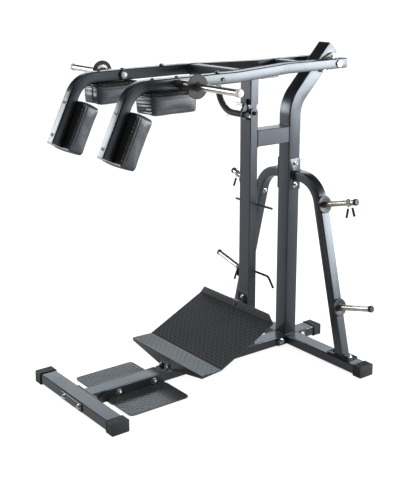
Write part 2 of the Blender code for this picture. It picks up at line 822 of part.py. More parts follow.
# Uprights
def make_front_upright():
    bolt = prop_bolt_place()
    foot = BEAM_TOP + GAP
    cheek = FRONT_UPRIGHT_DEPTH / 2
    top = bolt.z + cheek
    upright = add_part(
        "front_upright",
        straight_tube(UPRIGHT_WIDTH, FRONT_UPRIGHT_DEPTH, top - foot),
        "frame_steel",
        Matrix.Translation(at(0, FRONT_UPRIGHT_S, foot)),
    )
    cutter = bmesh.new()
    slot = UPRIGHT_WIDTH / 2 - WALL + GAP
    deep = 2 * FRONT_UPRIGHT_DEPTH
    low = bolt.z - CHEEK_SLOT_DROP
    block(cutter, bolt + Vector((-slot, -deep, low - bolt.z)), bolt + Vector((slot, deep, deep)))
    add_boolean(upright, cutter, "DIFFERENCE", Matrix())
    round_cheeks(upright, bolt, cheek)
    hole = BOLT_RADIUS + HOLE_CLEARANCE
    drill(
        upright,
        [
            (bolt, Vector((1, 0, 0)), PROP_BOLT_RADIUS + HOLE_CLEARANCE, 2 * UPRIGHT_WIDTH),
            (at(0, FRONT_UPRIGHT_FACE, upright_bolt_height()), Vector((0, 1, 0)), hole, 8 * WALL),
        ],
    )


def round_cheeks(upright, centre, radius):
    # Cuts what lies over a half circle round the prop's bolt
    bm = bmesh.new()
    far = 2 * radius
    angles = [math.pi * step / CHEEK_STEPS for step in range(CHEEK_STEPS + 1)]
    arc = [(-radius * math.cos(angle), radius * math.sin(angle)) for angle in angles]
    shape = [*arc, (far, 0), (far, far), (-far, far), (-far, 0)]
    corners = [bm.verts.new(centre + Vector((-UPRIGHT_WIDTH, s, z))) for s, z in shape]
    extrude(bm, [bm.faces.new(corners)], (2 * UPRIGHT_WIDTH, 0, 0))
    add_boolean(upright, bm, "DIFFERENCE", Matrix())


def make_rear_upright():
    foot = BEAM_TOP + GAP
    bm = bmesh.new()
    faces = ring(bm, UPRIGHT_WIDTH, REAR_UPRIGHT_DEPTH)
    faces = extrude(bm, faces, (0, 0, MAST_BEND_HEIGHT - foot))
    centre = (0, MAST_BEND_RADIUS, MAST_BEND_HEIGHT - foot)
    faces = bend(bm, faces, centre, (1, 0, 0), -MAST_LEAN)
    extrude(bm, faces, MAST_STRAIGHT * MAST_DIRECTION)
    upright = add_part("rear_upright", bm, "frame_steel", Matrix.Translation(at(0, REAR_UPRIGHT_S, foot)))
    across = Vector((1, 0, 0))
    wide = 2 * UPRIGHT_WIDTH
    holes = [
        (at(0, REAR_UPRIGHT_S, z), across, BOLT_RADIUS + HOLE_CLEARANCE, wide)
        for z in storage_bolt_places().values()
    ]
    holes.append((at(*PIVOT), across, SHAFT_RADIUS + RUNNING_CLEARANCE, wide))
    add_plug(upright, UPRIGHT_WIDTH, REAR_UPRIGHT_DEPTH, facing(at(*MAST_END), MAST_DIRECTION))
    drill(upright, holes)


def make_upright_tie():
    front = FRONT_UPRIGHT_FACE + FRONT_UPRIGHT_DEPTH + GAP
    rear = REAR_UPRIGHT_S - REAR_UPRIGHT_DEPTH / 2 - GAP
    top = prop_bolt_place().z - TIE_BELOW_PROP_BOLT
    add_part(
        "upright_tie",
        straight_tube(UPRIGHT_WIDTH, TIE_HEIGHT, rear - front),
        "frame_steel",
        along_minus_y(at(0, rear, top - TIE_HEIGHT / 2)),
    )


def make_bearings():
    for name, side in (("left", -1), ("right", 1)):
        where = at(side * (UPRIGHT_WIDTH / 2 + GAP), PIVOT.y, PIVOT.z)
        place = facing(where, Vector((side, 0, 0)), MAST_DIRECTION)
        bm = bmesh.new()
        half = BEARING_FLANGE / 2
        for along, radius in (
            (0, BEARING_RADIUS),
            (-BEARING_LOBE_REACH, BEARING_LOBE),
            (BEARING_LOBE_REACH, BEARING_LOBE),
        ):
            cylinder(bm, Vector((along, 0, half)), Vector((0, 0, 1)), radius, BEARING_FLANGE)
        wrap(bm)
        bearing = add_part(f"bearing_{name}", bm, "cast_iron", place)
        boss = lathe(
            bmesh.new(),
            [
                (0, BEARING_FLANGE / 2),
                (BEARING_BOSS_FOOT, BEARING_FLANGE / 2),
                (BEARING_BOSS_SHOULDER, BEARING_THICKNESS - BEARING_BOSS_ROUND),
                (BEARING_BOSS_TOP, BEARING_THICKNESS),
                (0, BEARING_THICKNESS),
            ],
        )
        add_boolean(bearing, boss, "UNION", place)
        radius = SHAFT_RADIUS + RUNNING_CLEARANCE
        drill(bearing, [(place.translation, Vector((1, 0, 0)), radius, 4 * BEARING_THICKNESS)])


# Lever
def arm_point(reach, x=0.0, above=0.0):
    # A point at a distance ahead of the pivot along the arms' centre line
    return Vector((x, 0, 0)) - reach * ARM_BACKWARD + above * ARM_UPWARD


def lever_place(where):
    return at(where.x, PIVOT.y + where.y, PIVOT.z + where.z)


def leg_corner_reach():
    # How far ahead of the pivot the leg's and the arm's centre lines meet
    across = LEG_FOOT.dot(ARM_UPWARD) / LEG_UPWARD.dot(ARM_UPWARD)
    meeting = LEG_FOOT - across * LEG_UPWARD
    return -meeting.dot(ARM_BACKWARD)


def leg_point(up, rearward):
    return LEG_FOOT + up * LEG_UPWARD + rearward * LEG_REARWARD


def make_lever_arm(name, side, parent):
    place = Matrix.Translation(at(*PIVOT))
    offset = Vector((side * ARM_FRONT_X, 0, 0))
    bm = bmesh.new()
    faces = ring(bm, ARM_SIZE, ARM_SIZE)
    bmesh.ops.transform(bm, matrix=facing(LEG_FOOT + offset, LEG_UPWARD), verts=bm.verts)
    corner = arm_point(leg_corner_reach())
    tangent = LEG_BEND_RADIUS * math.tan(LEG_TURN / 2)
    before_bend = corner - tangent * LEG_UPWARD + offset
    faces = extrude_to(bm, faces, LEG_UPWARD, before_bend)
    centre = before_bend + LEG_BEND_RADIUS * LEG_REARWARD
    faces = bend(bm, faces, centre, (1, 0, 0), -LEG_TURN)
    first = arm_point(KINK_FRONT, side * ARM_FRONT_X)
    second = arm_point(KINK_REAR, side * ARM_REAR_X)
    slanted = (second - first).normalized()
    mitre = (slanted + ARM_BACKWARD).normalized()
    faces = extrude_to(bm, faces, ARM_BACKWARD, first, mitre)
    faces = extrude_to(bm, faces, slanted, second, mitre)
    extrude_to(bm, faces, ARM_BACKWARD, arm_point(-ARM_BEHIND_PIVOT, side * ARM_REAR_X))
    arm = add_part(f"lever_arm_{name}", bm, "frame_steel", place, parent)
    across = Vector((1, 0, 0))
    rear_end = lever_place(arm_point(-ARM_BEHIND_PIVOT, side * ARM_REAR_X))
    add_plug(arm, ARM_SIZE, ARM_SIZE, facing(rear_end, ARM_BACKWARD))
    bolt = BOLT_RADIUS + HOLE_CLEARANCE
    long = 2 * ARM_SIZE
    holes = [
        (lever_place(arm_point(0, side * ARM_REAR_X)), across, SHAFT_RADIUS + HOLE_CLEARANCE, long),
        (lever_place(arm_point(HORN_REACH, side * ARM_FRONT_X)), across, HORN_RADIUS + HOLE_CLEARANCE, long),
    ]
    for step in (-PAD_BOLT_SPACING / 2, PAD_BOLT_SPACING / 2):
        holes.append((lever_place(arm_point(SHOULDER_PAD_REACH + step, offset.x)), ARM_UPWARD, bolt, long))
        holes.append((lever_place(leg_point(BACK_PAD_UP_LEG + step, 0) + offset), LEG_REARWARD, bolt, long))
    drill(arm, holes)


def make_leg_cap(name, side, parent):
    base = LEG_FOOT + Vector((side * ARM_FRONT_X, 0, 0)) - GAP * LEG_UPWARD
    bm = bmesh.new()
    faces = outline(bm, ARM_SIZE, ARM_SIZE, CORNER)
    rim = extrude(bm, faces, (0, 0, LEG_CAP))
    bmesh.ops.inset_region(bm, faces=rim, thickness=WALL + HOLE_CLEARANCE, use_boundary=True)
    extrude(bm, rim, (0, 0, LEG_PLUG_DEPTH))
    bmesh.ops.translate(bm, vec=(0, 0, -LEG_CAP), verts=bm.verts)
    add_part(f"lever_leg_cap_{name}", bm, "rubber", facing(lever_place(base), LEG_UPWARD), parent)


def slanted_face_x(reach):
    # The middle of a slanted arm at a distance ahead of the pivot, and its half width across X
    share = (reach - KINK_REAR) / (KINK_FRONT - KINK_REAR)
    slope = math.atan2(ARM_FRONT_X - ARM_REAR_X, KINK_FRONT - KINK_REAR)
    return ARM_REAR_X + share * (ARM_FRONT_X - ARM_REAR_X), ARM_SIZE / 2 / math.cos(slope), slope


def make_crosses(parent):
    middle, half, slope = slanted_face_x(CROSS_FRONT_REACH)
    place = lever_place(arm_point(CROSS_FRONT_REACH))
    bm = bmesh.new()
    faces = ring(bm, ARM_SIZE, ARM_SIZE)
    end = middle - half - GAP / math.cos(slope)
    axis = Vector((0, 0, 1))
    # Both ends are cut to the slanted arms, which lie further apart towards the front
    slide_to_plane(faces, axis, Vector((0, 0, -end)), Vector((math.sin(slope), 0, -math.cos(slope))))
    extrude_to(bm, faces, axis, Vector((0, 0, end)), Vector((math.sin(slope), 0, math.cos(slope))))
    turn = facing(place, Vector((1, 0, 0)), ARM_BACKWARD)
    add_part("lever_cross_front", bm, "frame_steel", turn, parent)
    inner = ARM_REAR_X - ARM_SIZE / 2 - GAP
    bm = straight_tube(ARM_SIZE, ARM_SIZE, 2 * inner)
    place = facing(lever_place(arm_point(CROSS_REAR_REACH, -inner)), Vector((1, 0, 0)), ARM_BACKWARD)
    add_part("lever_cross_rear", bm, "frame_steel", place, parent)


def make_horn(name, side, parent):
    inner = ARM_FRONT_X - ARM_SIZE / 2 - GAP
    outer = ARM_FRONT_X + ARM_SIZE / 2 + GAP
    start = inner - HORN_COLLAR
    tip = HORN_TIP_X - HORN_TIP
    profile = [
        (0, start),
        (HORN_COLLAR_RADIUS, start),
        (HORN_COLLAR_RADIUS, inner),
        (HORN_RADIUS, inner),
        (HORN_RADIUS, outer),
        (HORN_SLEEVE_RADIUS, outer),
        (HORN_SLEEVE_RADIUS, HORN_DISC_X),
        (HORN_DISC_RADIUS, HORN_DISC_X),
        (HORN_DISC_RADIUS, HORN_DISC_X + HORN_DISC),
        (HORN_RADIUS, HORN_DISC_X + HORN_DISC),
        (HORN_RADIUS, tip),
        (HORN_TIP_RADIUS, tip),
        (HORN_TIP_RADIUS, HORN_TIP_X - CHAMFER),
        (HORN_TIP_RADIUS - CHAMFER, HORN_TIP_X),
        (0, HORN_TIP_X),
    ]
    place = facing(lever_place(arm_point(HORN_REACH)), Vector((side, 0, 0)), ARM_BACKWARD)
    add_part(f"weight_horn_{name}", lathe(bmesh.new(), profile), "chrome", place, parent)


def pad_frames(side):
    # For each pad: where its board's bolts meet the tube, the way out of the tube, and along the pad
    x = side * ARM_FRONT_X
    half = ARM_SIZE / 2
    return {
        "shoulder_pad": (arm_point(SHOULDER_PAD_REACH, x, -half), -ARM_UPWARD, ARM_BACKWARD),
        "back_pad": (leg_point(BACK_PAD_UP_LEG, half) + Vector((x, 0, 0)), LEG_REARWARD, LEG_UPWARD),
    }


# Length, thickness, and how far the pad's middle lies back along it from its bolts' middle
PAD_SIZES = {
    "shoulder_pad": (SHOULDER_PAD_LENGTH, SHOULDER_PAD_THICKNESS, 0.0),
    "back_pad": (BACK_PAD_LENGTH, BACK_PAD_THICKNESS, BACK_PAD_DROP),
}


def make_pads(name, side, parent):
    for kind, (where, outward, along) in pad_frames(side).items():
        length, thickness, drop = PAD_SIZES[kind]
        place = facing(lever_place(where), outward, along)
        lift = GAP + SPACER
        wide = 2 * (PAD_HALF_WIDTH - BOARD_INSET)
        bm = plate(length - 2 * BOARD_INSET, wide, BOARD, PAD_CORNER - BOARD_INSET)
        bmesh.ops.translate(bm, vec=(-drop, 0, lift), verts=bm.verts)
        board = add_part(f"{kind}_board_{name}", bm, "board", place, parent)
        bolts = bmesh.new()
        for step in (-PAD_BOLT_SPACING / 2, PAD_BOLT_SPACING / 2):
            head = -ARM_SIZE - GAP
            profile = [
                *dome(head, -1)[::-1],
                (BOLT_RADIUS, head),
                (BOLT_RADIUS, GAP),
                (SPACER_RADIUS, GAP),
                (SPACER_RADIUS, lift + BOARD / 2),
                (0, lift + BOARD / 2),
            ]
            lathe(bolts, profile, BOLT_SIDES, Matrix.Translation((step, 0, 0)))
        add_boolean(board, bolts, "UNION", place)
        place = place @ Matrix.Translation((-drop, 0, lift + BOARD + GAP))
        make_cushion(f"{kind}_{name}", length, thickness, place, parent)


def make_cushion(name, length, thickness, place, parent):
    # Flat back, sides drawn in below the welt seam, and a crowned front
    bm = bmesh.new()
    back = PAD_BACK_INSET
    faces = outline(bm, length - 2 * back, 2 * (PAD_HALF_WIDTH - back), PAD_CORNER - back, PAD_CORNER_STEPS)
    height = 0.0
    for share, inset in PAD_RINGS:
        faces = extrude(bm, faces, (0, 0, (share - height) * thickness))
        height = share
        grow = [(length - 2 * inset) / length, (2 * PAD_HALF_WIDTH - 2 * inset) / (2 * PAD_HALF_WIDTH), 1]
        bmesh.ops.scale(bm, vec=grow, verts=points_of(faces))
    add_part(name, bm, "vinyl", place, parent)


def make_shaft(parent):
    outer = SHAFT_HALF + SHAFT_CAP
    profile = [
        (0, -outer),
        (SHAFT_CAP_RADIUS - CHAMFER, -outer),
        (SHAFT_CAP_RADIUS, -outer + CHAMFER),
        (SHAFT_CAP_RADIUS, -SHAFT_HALF),
        (SHAFT_RADIUS, -SHAFT_HALF),
        (SHAFT_RADIUS, SHAFT_HALF),
        (SHAFT_CAP_RADIUS, SHAFT_HALF),
        (SHAFT_CAP_RADIUS, outer - CHAMFER),
        (SHAFT_CAP_RADIUS - CHAMFER, outer),
        (0, outer),
    ]
    place = facing(at(*PIVOT), Vector((1, 0, 0)), Vector((0, 1, 0)))
    add_part("pivot_shaft", lathe(bmesh.new(), profile), "zinc", place, parent)


def rest_plate_reach():
    # The rest plate lies over the prop's bolt, so its middle is ahead of the pivot by the same run
    return (PIVOT.y - FRONT_UPRIGHT_S) / ARM_BACKWARD.y


def rest_plate_under():
    return arm_point(rest_plate_reach(), 0, -ARM_SIZE / 2 - GAP - REST_PLATE)


def make_rest_plate(parent):
    place = facing(lever_place(rest_plate_under()), ARM_UPWARD)
    bm = plate(2 * REST_PLATE_HALF, REST_PLATE_LENGTH, REST_PLATE, REST_PLATE_CORNER)
    add_part("rest_plate", bm, "frame_steel", place, parent)


# Prop
def prop_bolt_place():
    # Straight under the rest plate, a prop's length below its tilted underside
    under = rest_plate_under()
    run = PIVOT.y + under.y - FRONT_UPRIGHT_S
    lowest = PIVOT.z + under.z - run * math.tan(ARM_RISE)
    return at(0, FRONT_UPRIGHT_S, lowest - (PROP_REACH + GAP) / math.cos(ARM_RISE))


def make_prop(parent):
    bolt = prop_bolt_place()
    half = UPRIGHT_WIDTH / 2
    deep = FRONT_UPRIGHT_DEPTH / 2
    top = PROP_REACH - PROP_CAP
    bm = plate(UPRIGHT_WIDTH, FRONT_UPRIGHT_DEPTH, top - PROP_TUBE_START, CORNER)
    place = Matrix.Translation(bolt + Vector((0, 0, PROP_TUBE_START)))
    prop = add_part("prop_strut", bm, "frame_steel", place, parent)
    extra = bmesh.new()
    # Rounded cap on top, an arc about the bolt
    reach = deep - PROP_CAP_INSET
    edge = math.asin(reach / PROP_REACH)
    angles = [edge - 2 * edge * step / PROP_CAP_STEPS for step in range(PROP_CAP_STEPS + 1)]
    arc = [(PROP_REACH * math.sin(angle), PROP_REACH * math.cos(angle)) for angle in angles]
    shape = [(-reach, top - PROP_CAP / 2), (reach, top - PROP_CAP / 2), *arc]
    corners = [extra.verts.new(bolt + Vector((-half + PROP_CAP_INSET, s, z))) for s, z in shape]
    extrude(extra, [extra.faces.new(corners)], (2 * (half - PROP_CAP_INSET), 0, 0))
    # Two ears down to the bolt
    for side in (-1, 1):
        outer = side * (half - WALL - TONGUE_CLEARANCE)
        angles = [math.pi * (1 + step / TONGUE_STEPS) for step in range(TONGUE_STEPS + 1)]
        round_end = [(TONGUE_RADIUS * math.cos(angle), TONGUE_RADIUS * math.sin(angle)) for angle in angles]
        high = PROP_TUBE_START + PROP_FLOOR / 2
        shape = [*round_end, (TONGUE_RADIUS, high), (-TONGUE_RADIUS, high)]
        corners = [extra.verts.new(bolt + Vector((outer, s, z))) for s, z in shape]
        extrude(extra, [extra.faces.new(corners)], (-side * TONGUE_THICKNESS, 0, 0))
    bmesh.ops.recalc_face_normals(extra, faces=extra.faces)
    add_boolean(prop, extra, "UNION", Matrix())
    link = bmesh.new()
    # Link in front, from the prop down to the handle
    centre = Vector((LINK_X, -GRIP_FORWARD, -GRIP_BELOW))
    cylinder(link, bolt + centre, Vector((1, 0, 0)), LINK_RADIUS, LINK_THICKNESS)
    thick = LINK_THICKNESS / 2
    high = PROP_TUBE_START + LINK_HEIGHT
    low = PROP_TUBE_START + EMBED
    rear = -deep + WALL / 2
    for x in (LINK_X - thick, LINK_X + thick):
        for s, z in ((-deep - LINK_THICKNESS, high), (rear, high), (rear, low)):
            link.verts.new(bolt + Vector((x, s, z)))
    wrap(link)
    add_boolean(prop, link, "UNION", Matrix())
    inside = bmesh.new()
    block(
        inside,
        bolt + Vector((-half + WALL, -deep + WALL, PROP_TUBE_START + PROP_FLOOR)),
        bolt + Vector((half - WALL, deep - WALL, top - PROP_CAP / 2 - WALL)),
    )
    add_boolean(prop, inside, "DIFFERENCE", Matrix())
    vent = bolt + Vector((0, 0, PROP_TUBE_START + PROP_FLOOR / 2))
    holes = [
        (vent, Vector((0, 0, 1)), PROP_VENT_RADIUS, 2 * PROP_FLOOR),
        (bolt, Vector((1, 0, 0)), PROP_BOLT_RADIUS + RUNNING_CLEARANCE, 2 * UPRIGHT_WIDTH),
        (bolt + centre, Vector((1, 0, 0)), GRIP_RADIUS + HOLE_CLEARANCE, 4 * LINK_THICKNESS),
    ]
    drill(prop, holes)


def make_prop_bolt():
    bolt = prop_bolt_place()
    half = UPRIGHT_WIDTH / 2
    bm = through_bolt(bmesh.new(), 2 * half, PROP_BOLT_RADIUS)
    add_part("prop_bolt", bm, "zinc", along_x(bolt - Vector((half, 0, 0))))


def bar(name, path, radius, finish, parent=None, radii=None, resolution=2):
    curve = bpy.data.curves.new(name, "CURVE")
    curve.dimensions = "3D"
    curve.bevel_depth = radius
    curve.bevel_resolution = resolution
    curve.use_fill_caps = True
    spline = curve.splines.new("POLY")
    spline.points.add(len(path) - 1)
    for index, (point, where) in enumerate(zip(spline.points, path)):
        point.co = (*where, 1)
        point.radius = radii[index] if radii else 1
    spline.use_smooth = True
    curve.materials.append(material(finish))
    obj = bpy.data.objects.new(name, curve)
    bpy.context.scene.collection.objects.link(obj)
    if parent:
        obj.parent = parent
        obj.matrix_parent_inverse = parent.matrix_basis.inverted()
    return obj


def arc_points(start, heading, turn_towards, radius, angle, steps):
    # Points of an arc that leaves start along heading and turns towards turn_towards
    centre = start + radius * turn_towards
    turns = [angle * step / steps for step in range(1, steps + 1)]
    return [centre + radius * (math.sin(turn) * heading - math.cos(turn) * turn_towards) for turn in turns]


def make_prop_grip(parent):
    bolt = prop_bolt_place()
    centre = bolt + Vector((0, -GRIP_FORWARD, -GRIP_BELOW))
    start = centre + Vector((GRIP_RIGHT_X, 0, 0))
    corner = centre + Vector((GRIP_BEND_X, 0, 0))
    arc = arc_points(corner, Vector((-1, 0, 0)), Vector((0, 0, 1)), GRIP_BEND_RADIUS, math.pi / 2, BEND_STEPS)
    end = Vector((arc[-1].x, arc[-1].y, bolt.z + GRIP_END_Z))
    bar("prop_grip", [start, corner, *arc, end], GRIP_RADIUS, "rubber", parent, resolution=4)


# Storage
def storage_bolt_places():
    return {
        "storage_bolt_upper": STORAGE_HEIGHT + STORAGE_BOLT_ABOVE,
        "storage_bolt_lower": STORAGE_HEIGHT - STORAGE_BOLT_BELOW,
    }


def storage_bend_end():
    turn = math.pi / 2 - STORAGE_LEAN
    x = STORAGE_BEND_X + STORAGE_BEND_RADIUS * math.sin(turn)
    return Vector((x, 0, STORAGE_HEIGHT - STORAGE_BEND_RADIUS * (1 - math.cos(turn))))


def storage_point(side, z):
    # On the centre line of the slanted run
    end = storage_bend_end()
    x = end.x + (end.z - z) * math.tan(STORAGE_LEAN)
    return at(side * x, REAR_UPRIGHT_S + STORAGE_BEHIND_UPRIGHT, z)


def storage_outward(side):
    return Vector((side * math.cos(STORAGE_LEAN), 0, math.sin(STORAGE_LEAN)))


def make_storage_arm(name, side):
    inner = UPRIGHT_WIDTH / 2 + GAP
    s = storage_point(side, STORAGE_HEIGHT).y
    start = Vector((side * (inner + PLATE / 2), s, STORAGE_HEIGHT))
    outward = Vector((side, 0, 0))
    bm = bmesh.new()
    faces = ring(bm, STORAGE_DEPTH, STORAGE_WIDTH)
    bmesh.ops.transform(bm, matrix=facing(start, outward, Vector((0, 1, 0))), verts=bm.verts)
    bend_start = Vector((side * STORAGE_BEND_X, s, STORAGE_HEIGHT))
    faces = extrude_to(bm, faces, outward, bend_start)
    turn = math.pi / 2 - STORAGE_LEAN
    centre = bend_start - Vector((0, 0, STORAGE_BEND_RADIUS))
    faces = bend(bm, faces, centre, (0, 1, 0), side * turn)
    down = Vector((side * math.sin(STORAGE_LEAN), 0, -math.cos(STORAGE_LEAN)))
    foot_top = BEAM_TOP + GAP + PLATE
    floor = Vector((0, 0, foot_top - PLATE / 2))
    extrude_to(bm, faces, down, floor, Vector((0, 0, 1)))
    arm = add_part(f"storage_arm_{name}", bm, "frame_steel")
    plates = bmesh.new()
    low = at(side * inner, REAR_UPRIGHT_S, STORAGE_HEIGHT)
    middle = (STORAGE_BOLT_ABOVE - STORAGE_BOLT_BELOW) / 2
    half_length = STORAGE_FLANGE_LENGTH / 2
    half_depth = STORAGE_FLANGE_DEPTH / 2
    xs = sorted((low.x, low.x + side * PLATE))
    block(
        plates,
        (xs[0], low.y - half_depth, low.z + middle - half_length),
        (xs[1], low.y + half_depth, low.z + middle + half_length),
    )
    foot = storage_point(side, foot_top)
    block(
        plates,
        (foot.x - STORAGE_FOOT_LENGTH / 2, foot.y - half_depth, BEAM_TOP + GAP),
        (foot.x + STORAGE_FOOT_LENGTH / 2, foot.y + half_depth, foot_top),
    )
    add_boolean(arm, plates, "UNION", Matrix())
    radius = BOLT_RADIUS + HOLE_CLEARANCE
    holes = [
        (at(side * inner, REAR_UPRIGHT_S, z), Vector((1, 0, 0)), radius, 6 * PLATE)
        for z in storage_bolt_places().values()
    ]
    direction = storage_outward(side)
    for z in PEG_HEIGHTS.values():
        where = storage_point(side, z) + STORAGE_WIDTH / 2 * direction
        holes.append((where, direction, PEG_RADIUS + HOLE_CLEARANCE, STORAGE_WIDTH / 2))
    drill(arm, holes)


def make_storage_bolts():
    half = UPRIGHT_WIDTH / 2 + GAP + PLATE
    for name, z in storage_bolt_places().items():
        add_part(name, through_bolt(bmesh.new(), 2 * half), "zinc", along_x(at(-half, REAR_UPRIGHT_S, z)))


def peg_place(side, level):
    # Local +Z runs out along the peg from the arm's outer face
    direction = storage_outward(side)
    where = storage_point(side, PEG_HEIGHTS[level]) + (STORAGE_WIDTH / 2 + GAP) * direction
    return facing(where, direction, Vector((0, 1, 0)))


def make_peg(name, side, level):
    tip = PEG_LENGTH
    profile = [
        (0, -PEG_STUB),
        (PEG_RADIUS, -PEG_STUB),
        (PEG_RADIUS, 0),
        (PEG_DISC_RADIUS, 0),
        (PEG_DISC_RADIUS, PEG_DISC - CHAMFER),
        (PEG_DISC_RADIUS - CHAMFER, PEG_DISC),
        (PEG_RADIUS, PEG_DISC),
        (PEG_RADIUS, tip - PEG_CAP),
        (PEG_CAP_RADIUS, tip - PEG_CAP),
        (PEG_CAP_RADIUS, tip - CHAMFER),
        (PEG_CAP_RADIUS - CHAMFER, tip),
        (0, tip),
    ]
    add_part(f"storage_peg_{name}_{level}", lathe(bmesh.new(), profile), "chrome", peg_place(side, level))


def collar_path():
    # Coil about +Z with both tails hanging down, which is local -X
    clear = PEG_RADIUS + RUNNING_CLEARANCE + COLLAR_WIRE_RADIUS
    radius = clear / math.cos(math.pi / COLLAR_POINTS)
    turns = COLLAR_TURNS + 0.5
    count = int(turns * COLLAR_POINTS)
    grip = COLLAR_GRIP_RADIUS / COLLAR_WIRE_RADIUS
    coil = []
    for step in range(count + 1):
        angle = 2 * math.pi * step / COLLAR_POINTS
        height = COLLAR_PITCH * step / COLLAR_POINTS
        coil.append(Vector((radius * math.sin(angle), -radius * math.cos(angle), height)))
    tails = []
    for end in (coil[0], coil[-1]):
        down = Vector((-1, 0, 0))
        tails.append(
            [
                (end + COLLAR_TAIL * down, 1.0),
                (end + (COLLAR_TAIL + COLLAR_SHOULDER) * down, grip),
                (end + (COLLAR_TAIL + COLLAR_GRIP - COLLAR_GRIP_TIP) * down, grip),
                (end + (COLLAR_TAIL + COLLAR_GRIP) * down, grip * COLLAR_GRIP_TIP_SHARE),
            ]
        )
    marked = [*reversed(tails[0]), *((point, 1.0) for point in coil), *tails[1]]
    return [point for point, _ in marked], [share for _, share in marked], coil


def coil_gap(coil):
    # Least distance between stretches of the coil at least half a turn apart, less the wire
    least = min(
        (first - second).length
        for index, first in enumerate(coil)
        for second in coil[index + COLLAR_POINTS // 2 :]
    )
    return least - 2 * COLLAR_WIRE_RADIUS


def make_collar(name, side, level, start):
    path, radii, coil = collar_path()
    print(f"collar {name} {level}: least gap of the coil to itself {coil_gap(coil) * 1000:.2f} mm")
    where = peg_place(side, level)
    down = Vector((0, 0, -1))
    turned = facing(where.translation, storage_outward(side), -down)
    obj = bar(f"spring_collar_{name}_{level}", path, COLLAR_WIRE_RADIUS, "black_steel", None, radii, 1)
    obj.matrix_world = turned @ Matrix.Translation((0, 0, PEG_DISC + start))


# Rods behind the front upright
def make_rods():
    rear = FRONT_UPRIGHT_FACE + FRONT_UPRIGHT_DEPTH + GAP
    s = rear + ROD_STANDOFF
    for name, height, low, high in (
        ("band_rod", BAND_ROD_HEIGHT, -BAND_ROD_HALF, BAND_ROD_HALF),
        ("hook_rod", HOOK_HEIGHT, -HOOK_SHORT_END, HOOK_RUN),
    ):
        bm = bmesh.new()
        circle = bmesh.ops.create_circle(bm, cap_ends=True, segments=BOLT_SIDES, radius=ROD_RADIUS)
        bmesh.ops.transform(
            bm, matrix=facing(at(low, s, height), Vector((1, 0, 0)), Vector((0, 1, 0))), verts=circle["verts"]
        )
        faces = extrude(bm, bm.faces[:], (high - low, 0, 0))
        if name == "hook_rod":
            centre = at(high, s, height - HOOK_BEND_RADIUS)
            faces = bend(bm, faces, centre, (0, 1, 0), HOOK_TURN)
            step = Vector((math.cos(HOOK_TURN), 0, -math.sin(HOOK_TURN)))
            extrude(bm, faces, HOOK_END * step)
        rod = add_part(name, bm, "black_steel")
        saddle = bmesh.new()
        block(
            saddle,
            at(-ROD_BLOCK / 2, rear, height - ROD_BLOCK_HEIGHT / 2),
            at(ROD_BLOCK / 2, s + ROD_RADIUS / 3, height + ROD_BLOCK_HEIGHT / 2),
        )
        add_boolean(rod, saddle, "UNION", Matrix())


def build():
    clear_scene()
    lever = axis_empty("lever_axis", at(*PIVOT))
    prop = axis_empty("prop_axis", prop_bolt_place())
    make_front_foot()
    make_front_foot_bolts()
    make_beam()
    make_beam_bolts()
    make_rear_legs()
    make_floor_plates()
    make_footplate()
    make_footplate_front_bracket()
    make_footplate_rear_bracket()
    make_front_upright()
    make_rear_upright()
    make_upright_tie()
    make_bearings()
    make_storage_bolts()
    make_rods()
    for name, side in (("left", -1), ("right", 1)):
        make_storage_arm(name, side)
        for level in PEG_HEIGHTS:
            make_peg(name, side, level)
        make_lever_arm(name, side, lever)
        make_leg_cap(name, side, lever)
        make_horn(name, side, lever)
        make_pads(name, side, lever)
    for name, level, start in COLLARS:
        make_collar(name, 1 if name == "right" else -1, level, start)
    make_crosses(lever)
    make_shaft(lever)
    make_rest_plate(lever)
    make_prop(prop)
    make_prop_grip(prop)
    make_prop_bolt()


build()
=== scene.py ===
import json
import math

import bmesh
import bpy
from mathutils import Matrix, Vector, noise
from mathutils.bvhtree import BVHTree


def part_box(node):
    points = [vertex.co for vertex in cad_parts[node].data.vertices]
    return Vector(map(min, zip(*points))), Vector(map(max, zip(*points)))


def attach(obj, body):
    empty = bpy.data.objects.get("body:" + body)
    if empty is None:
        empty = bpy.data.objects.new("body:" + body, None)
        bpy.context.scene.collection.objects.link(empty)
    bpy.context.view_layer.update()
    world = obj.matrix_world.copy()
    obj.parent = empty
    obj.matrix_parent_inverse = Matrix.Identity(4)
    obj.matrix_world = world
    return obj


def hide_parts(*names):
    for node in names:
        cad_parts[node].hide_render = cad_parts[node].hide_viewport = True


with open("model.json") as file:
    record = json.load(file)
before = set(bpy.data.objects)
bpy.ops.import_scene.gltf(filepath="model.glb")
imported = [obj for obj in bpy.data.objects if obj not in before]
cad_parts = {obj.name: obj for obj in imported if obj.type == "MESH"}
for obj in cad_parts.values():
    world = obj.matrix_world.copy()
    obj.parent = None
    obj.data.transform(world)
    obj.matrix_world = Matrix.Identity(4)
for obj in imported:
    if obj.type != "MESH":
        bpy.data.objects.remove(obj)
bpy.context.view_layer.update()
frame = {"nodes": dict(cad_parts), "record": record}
nodes = frame["nodes"]
xAxis = Vector((1, 0, 0))
yAxis = Vector((0, 1, 0))
zAxis = Vector((0, 0, 1))
sides = (("Left", "left", -1), ("Right", "right", 1))


def report(text):
    print("scene: " + text)


# placing and mesh helpers
def facing(where, direction, sideways=xAxis):
    # local +Z along direction, local +X as near sideways as it can be
    forward = direction.normalized()
    across = (sideways - sideways.dot(forward) * forward).normalized()
    axes = Matrix((across, forward.cross(across), forward)).transposed().to_4x4()
    return Matrix.Translation(where) @ axes


def middleOf(node):
    low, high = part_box(node)
    return (low + high) / 2


def linked(name, data):
    holder = bpy.data.objects.new(name, data)
    bpy.context.scene.collection.objects.link(holder)
    return holder


def aimed(name, data, where, forward):
    # for the camera and the lamps
    holder = linked(name, data)
    holder.location = where
    holder.rotation_mode = "QUATERNION"
    holder.rotation_quaternion = forward.to_track_quat("-Z", "Y")
    return holder


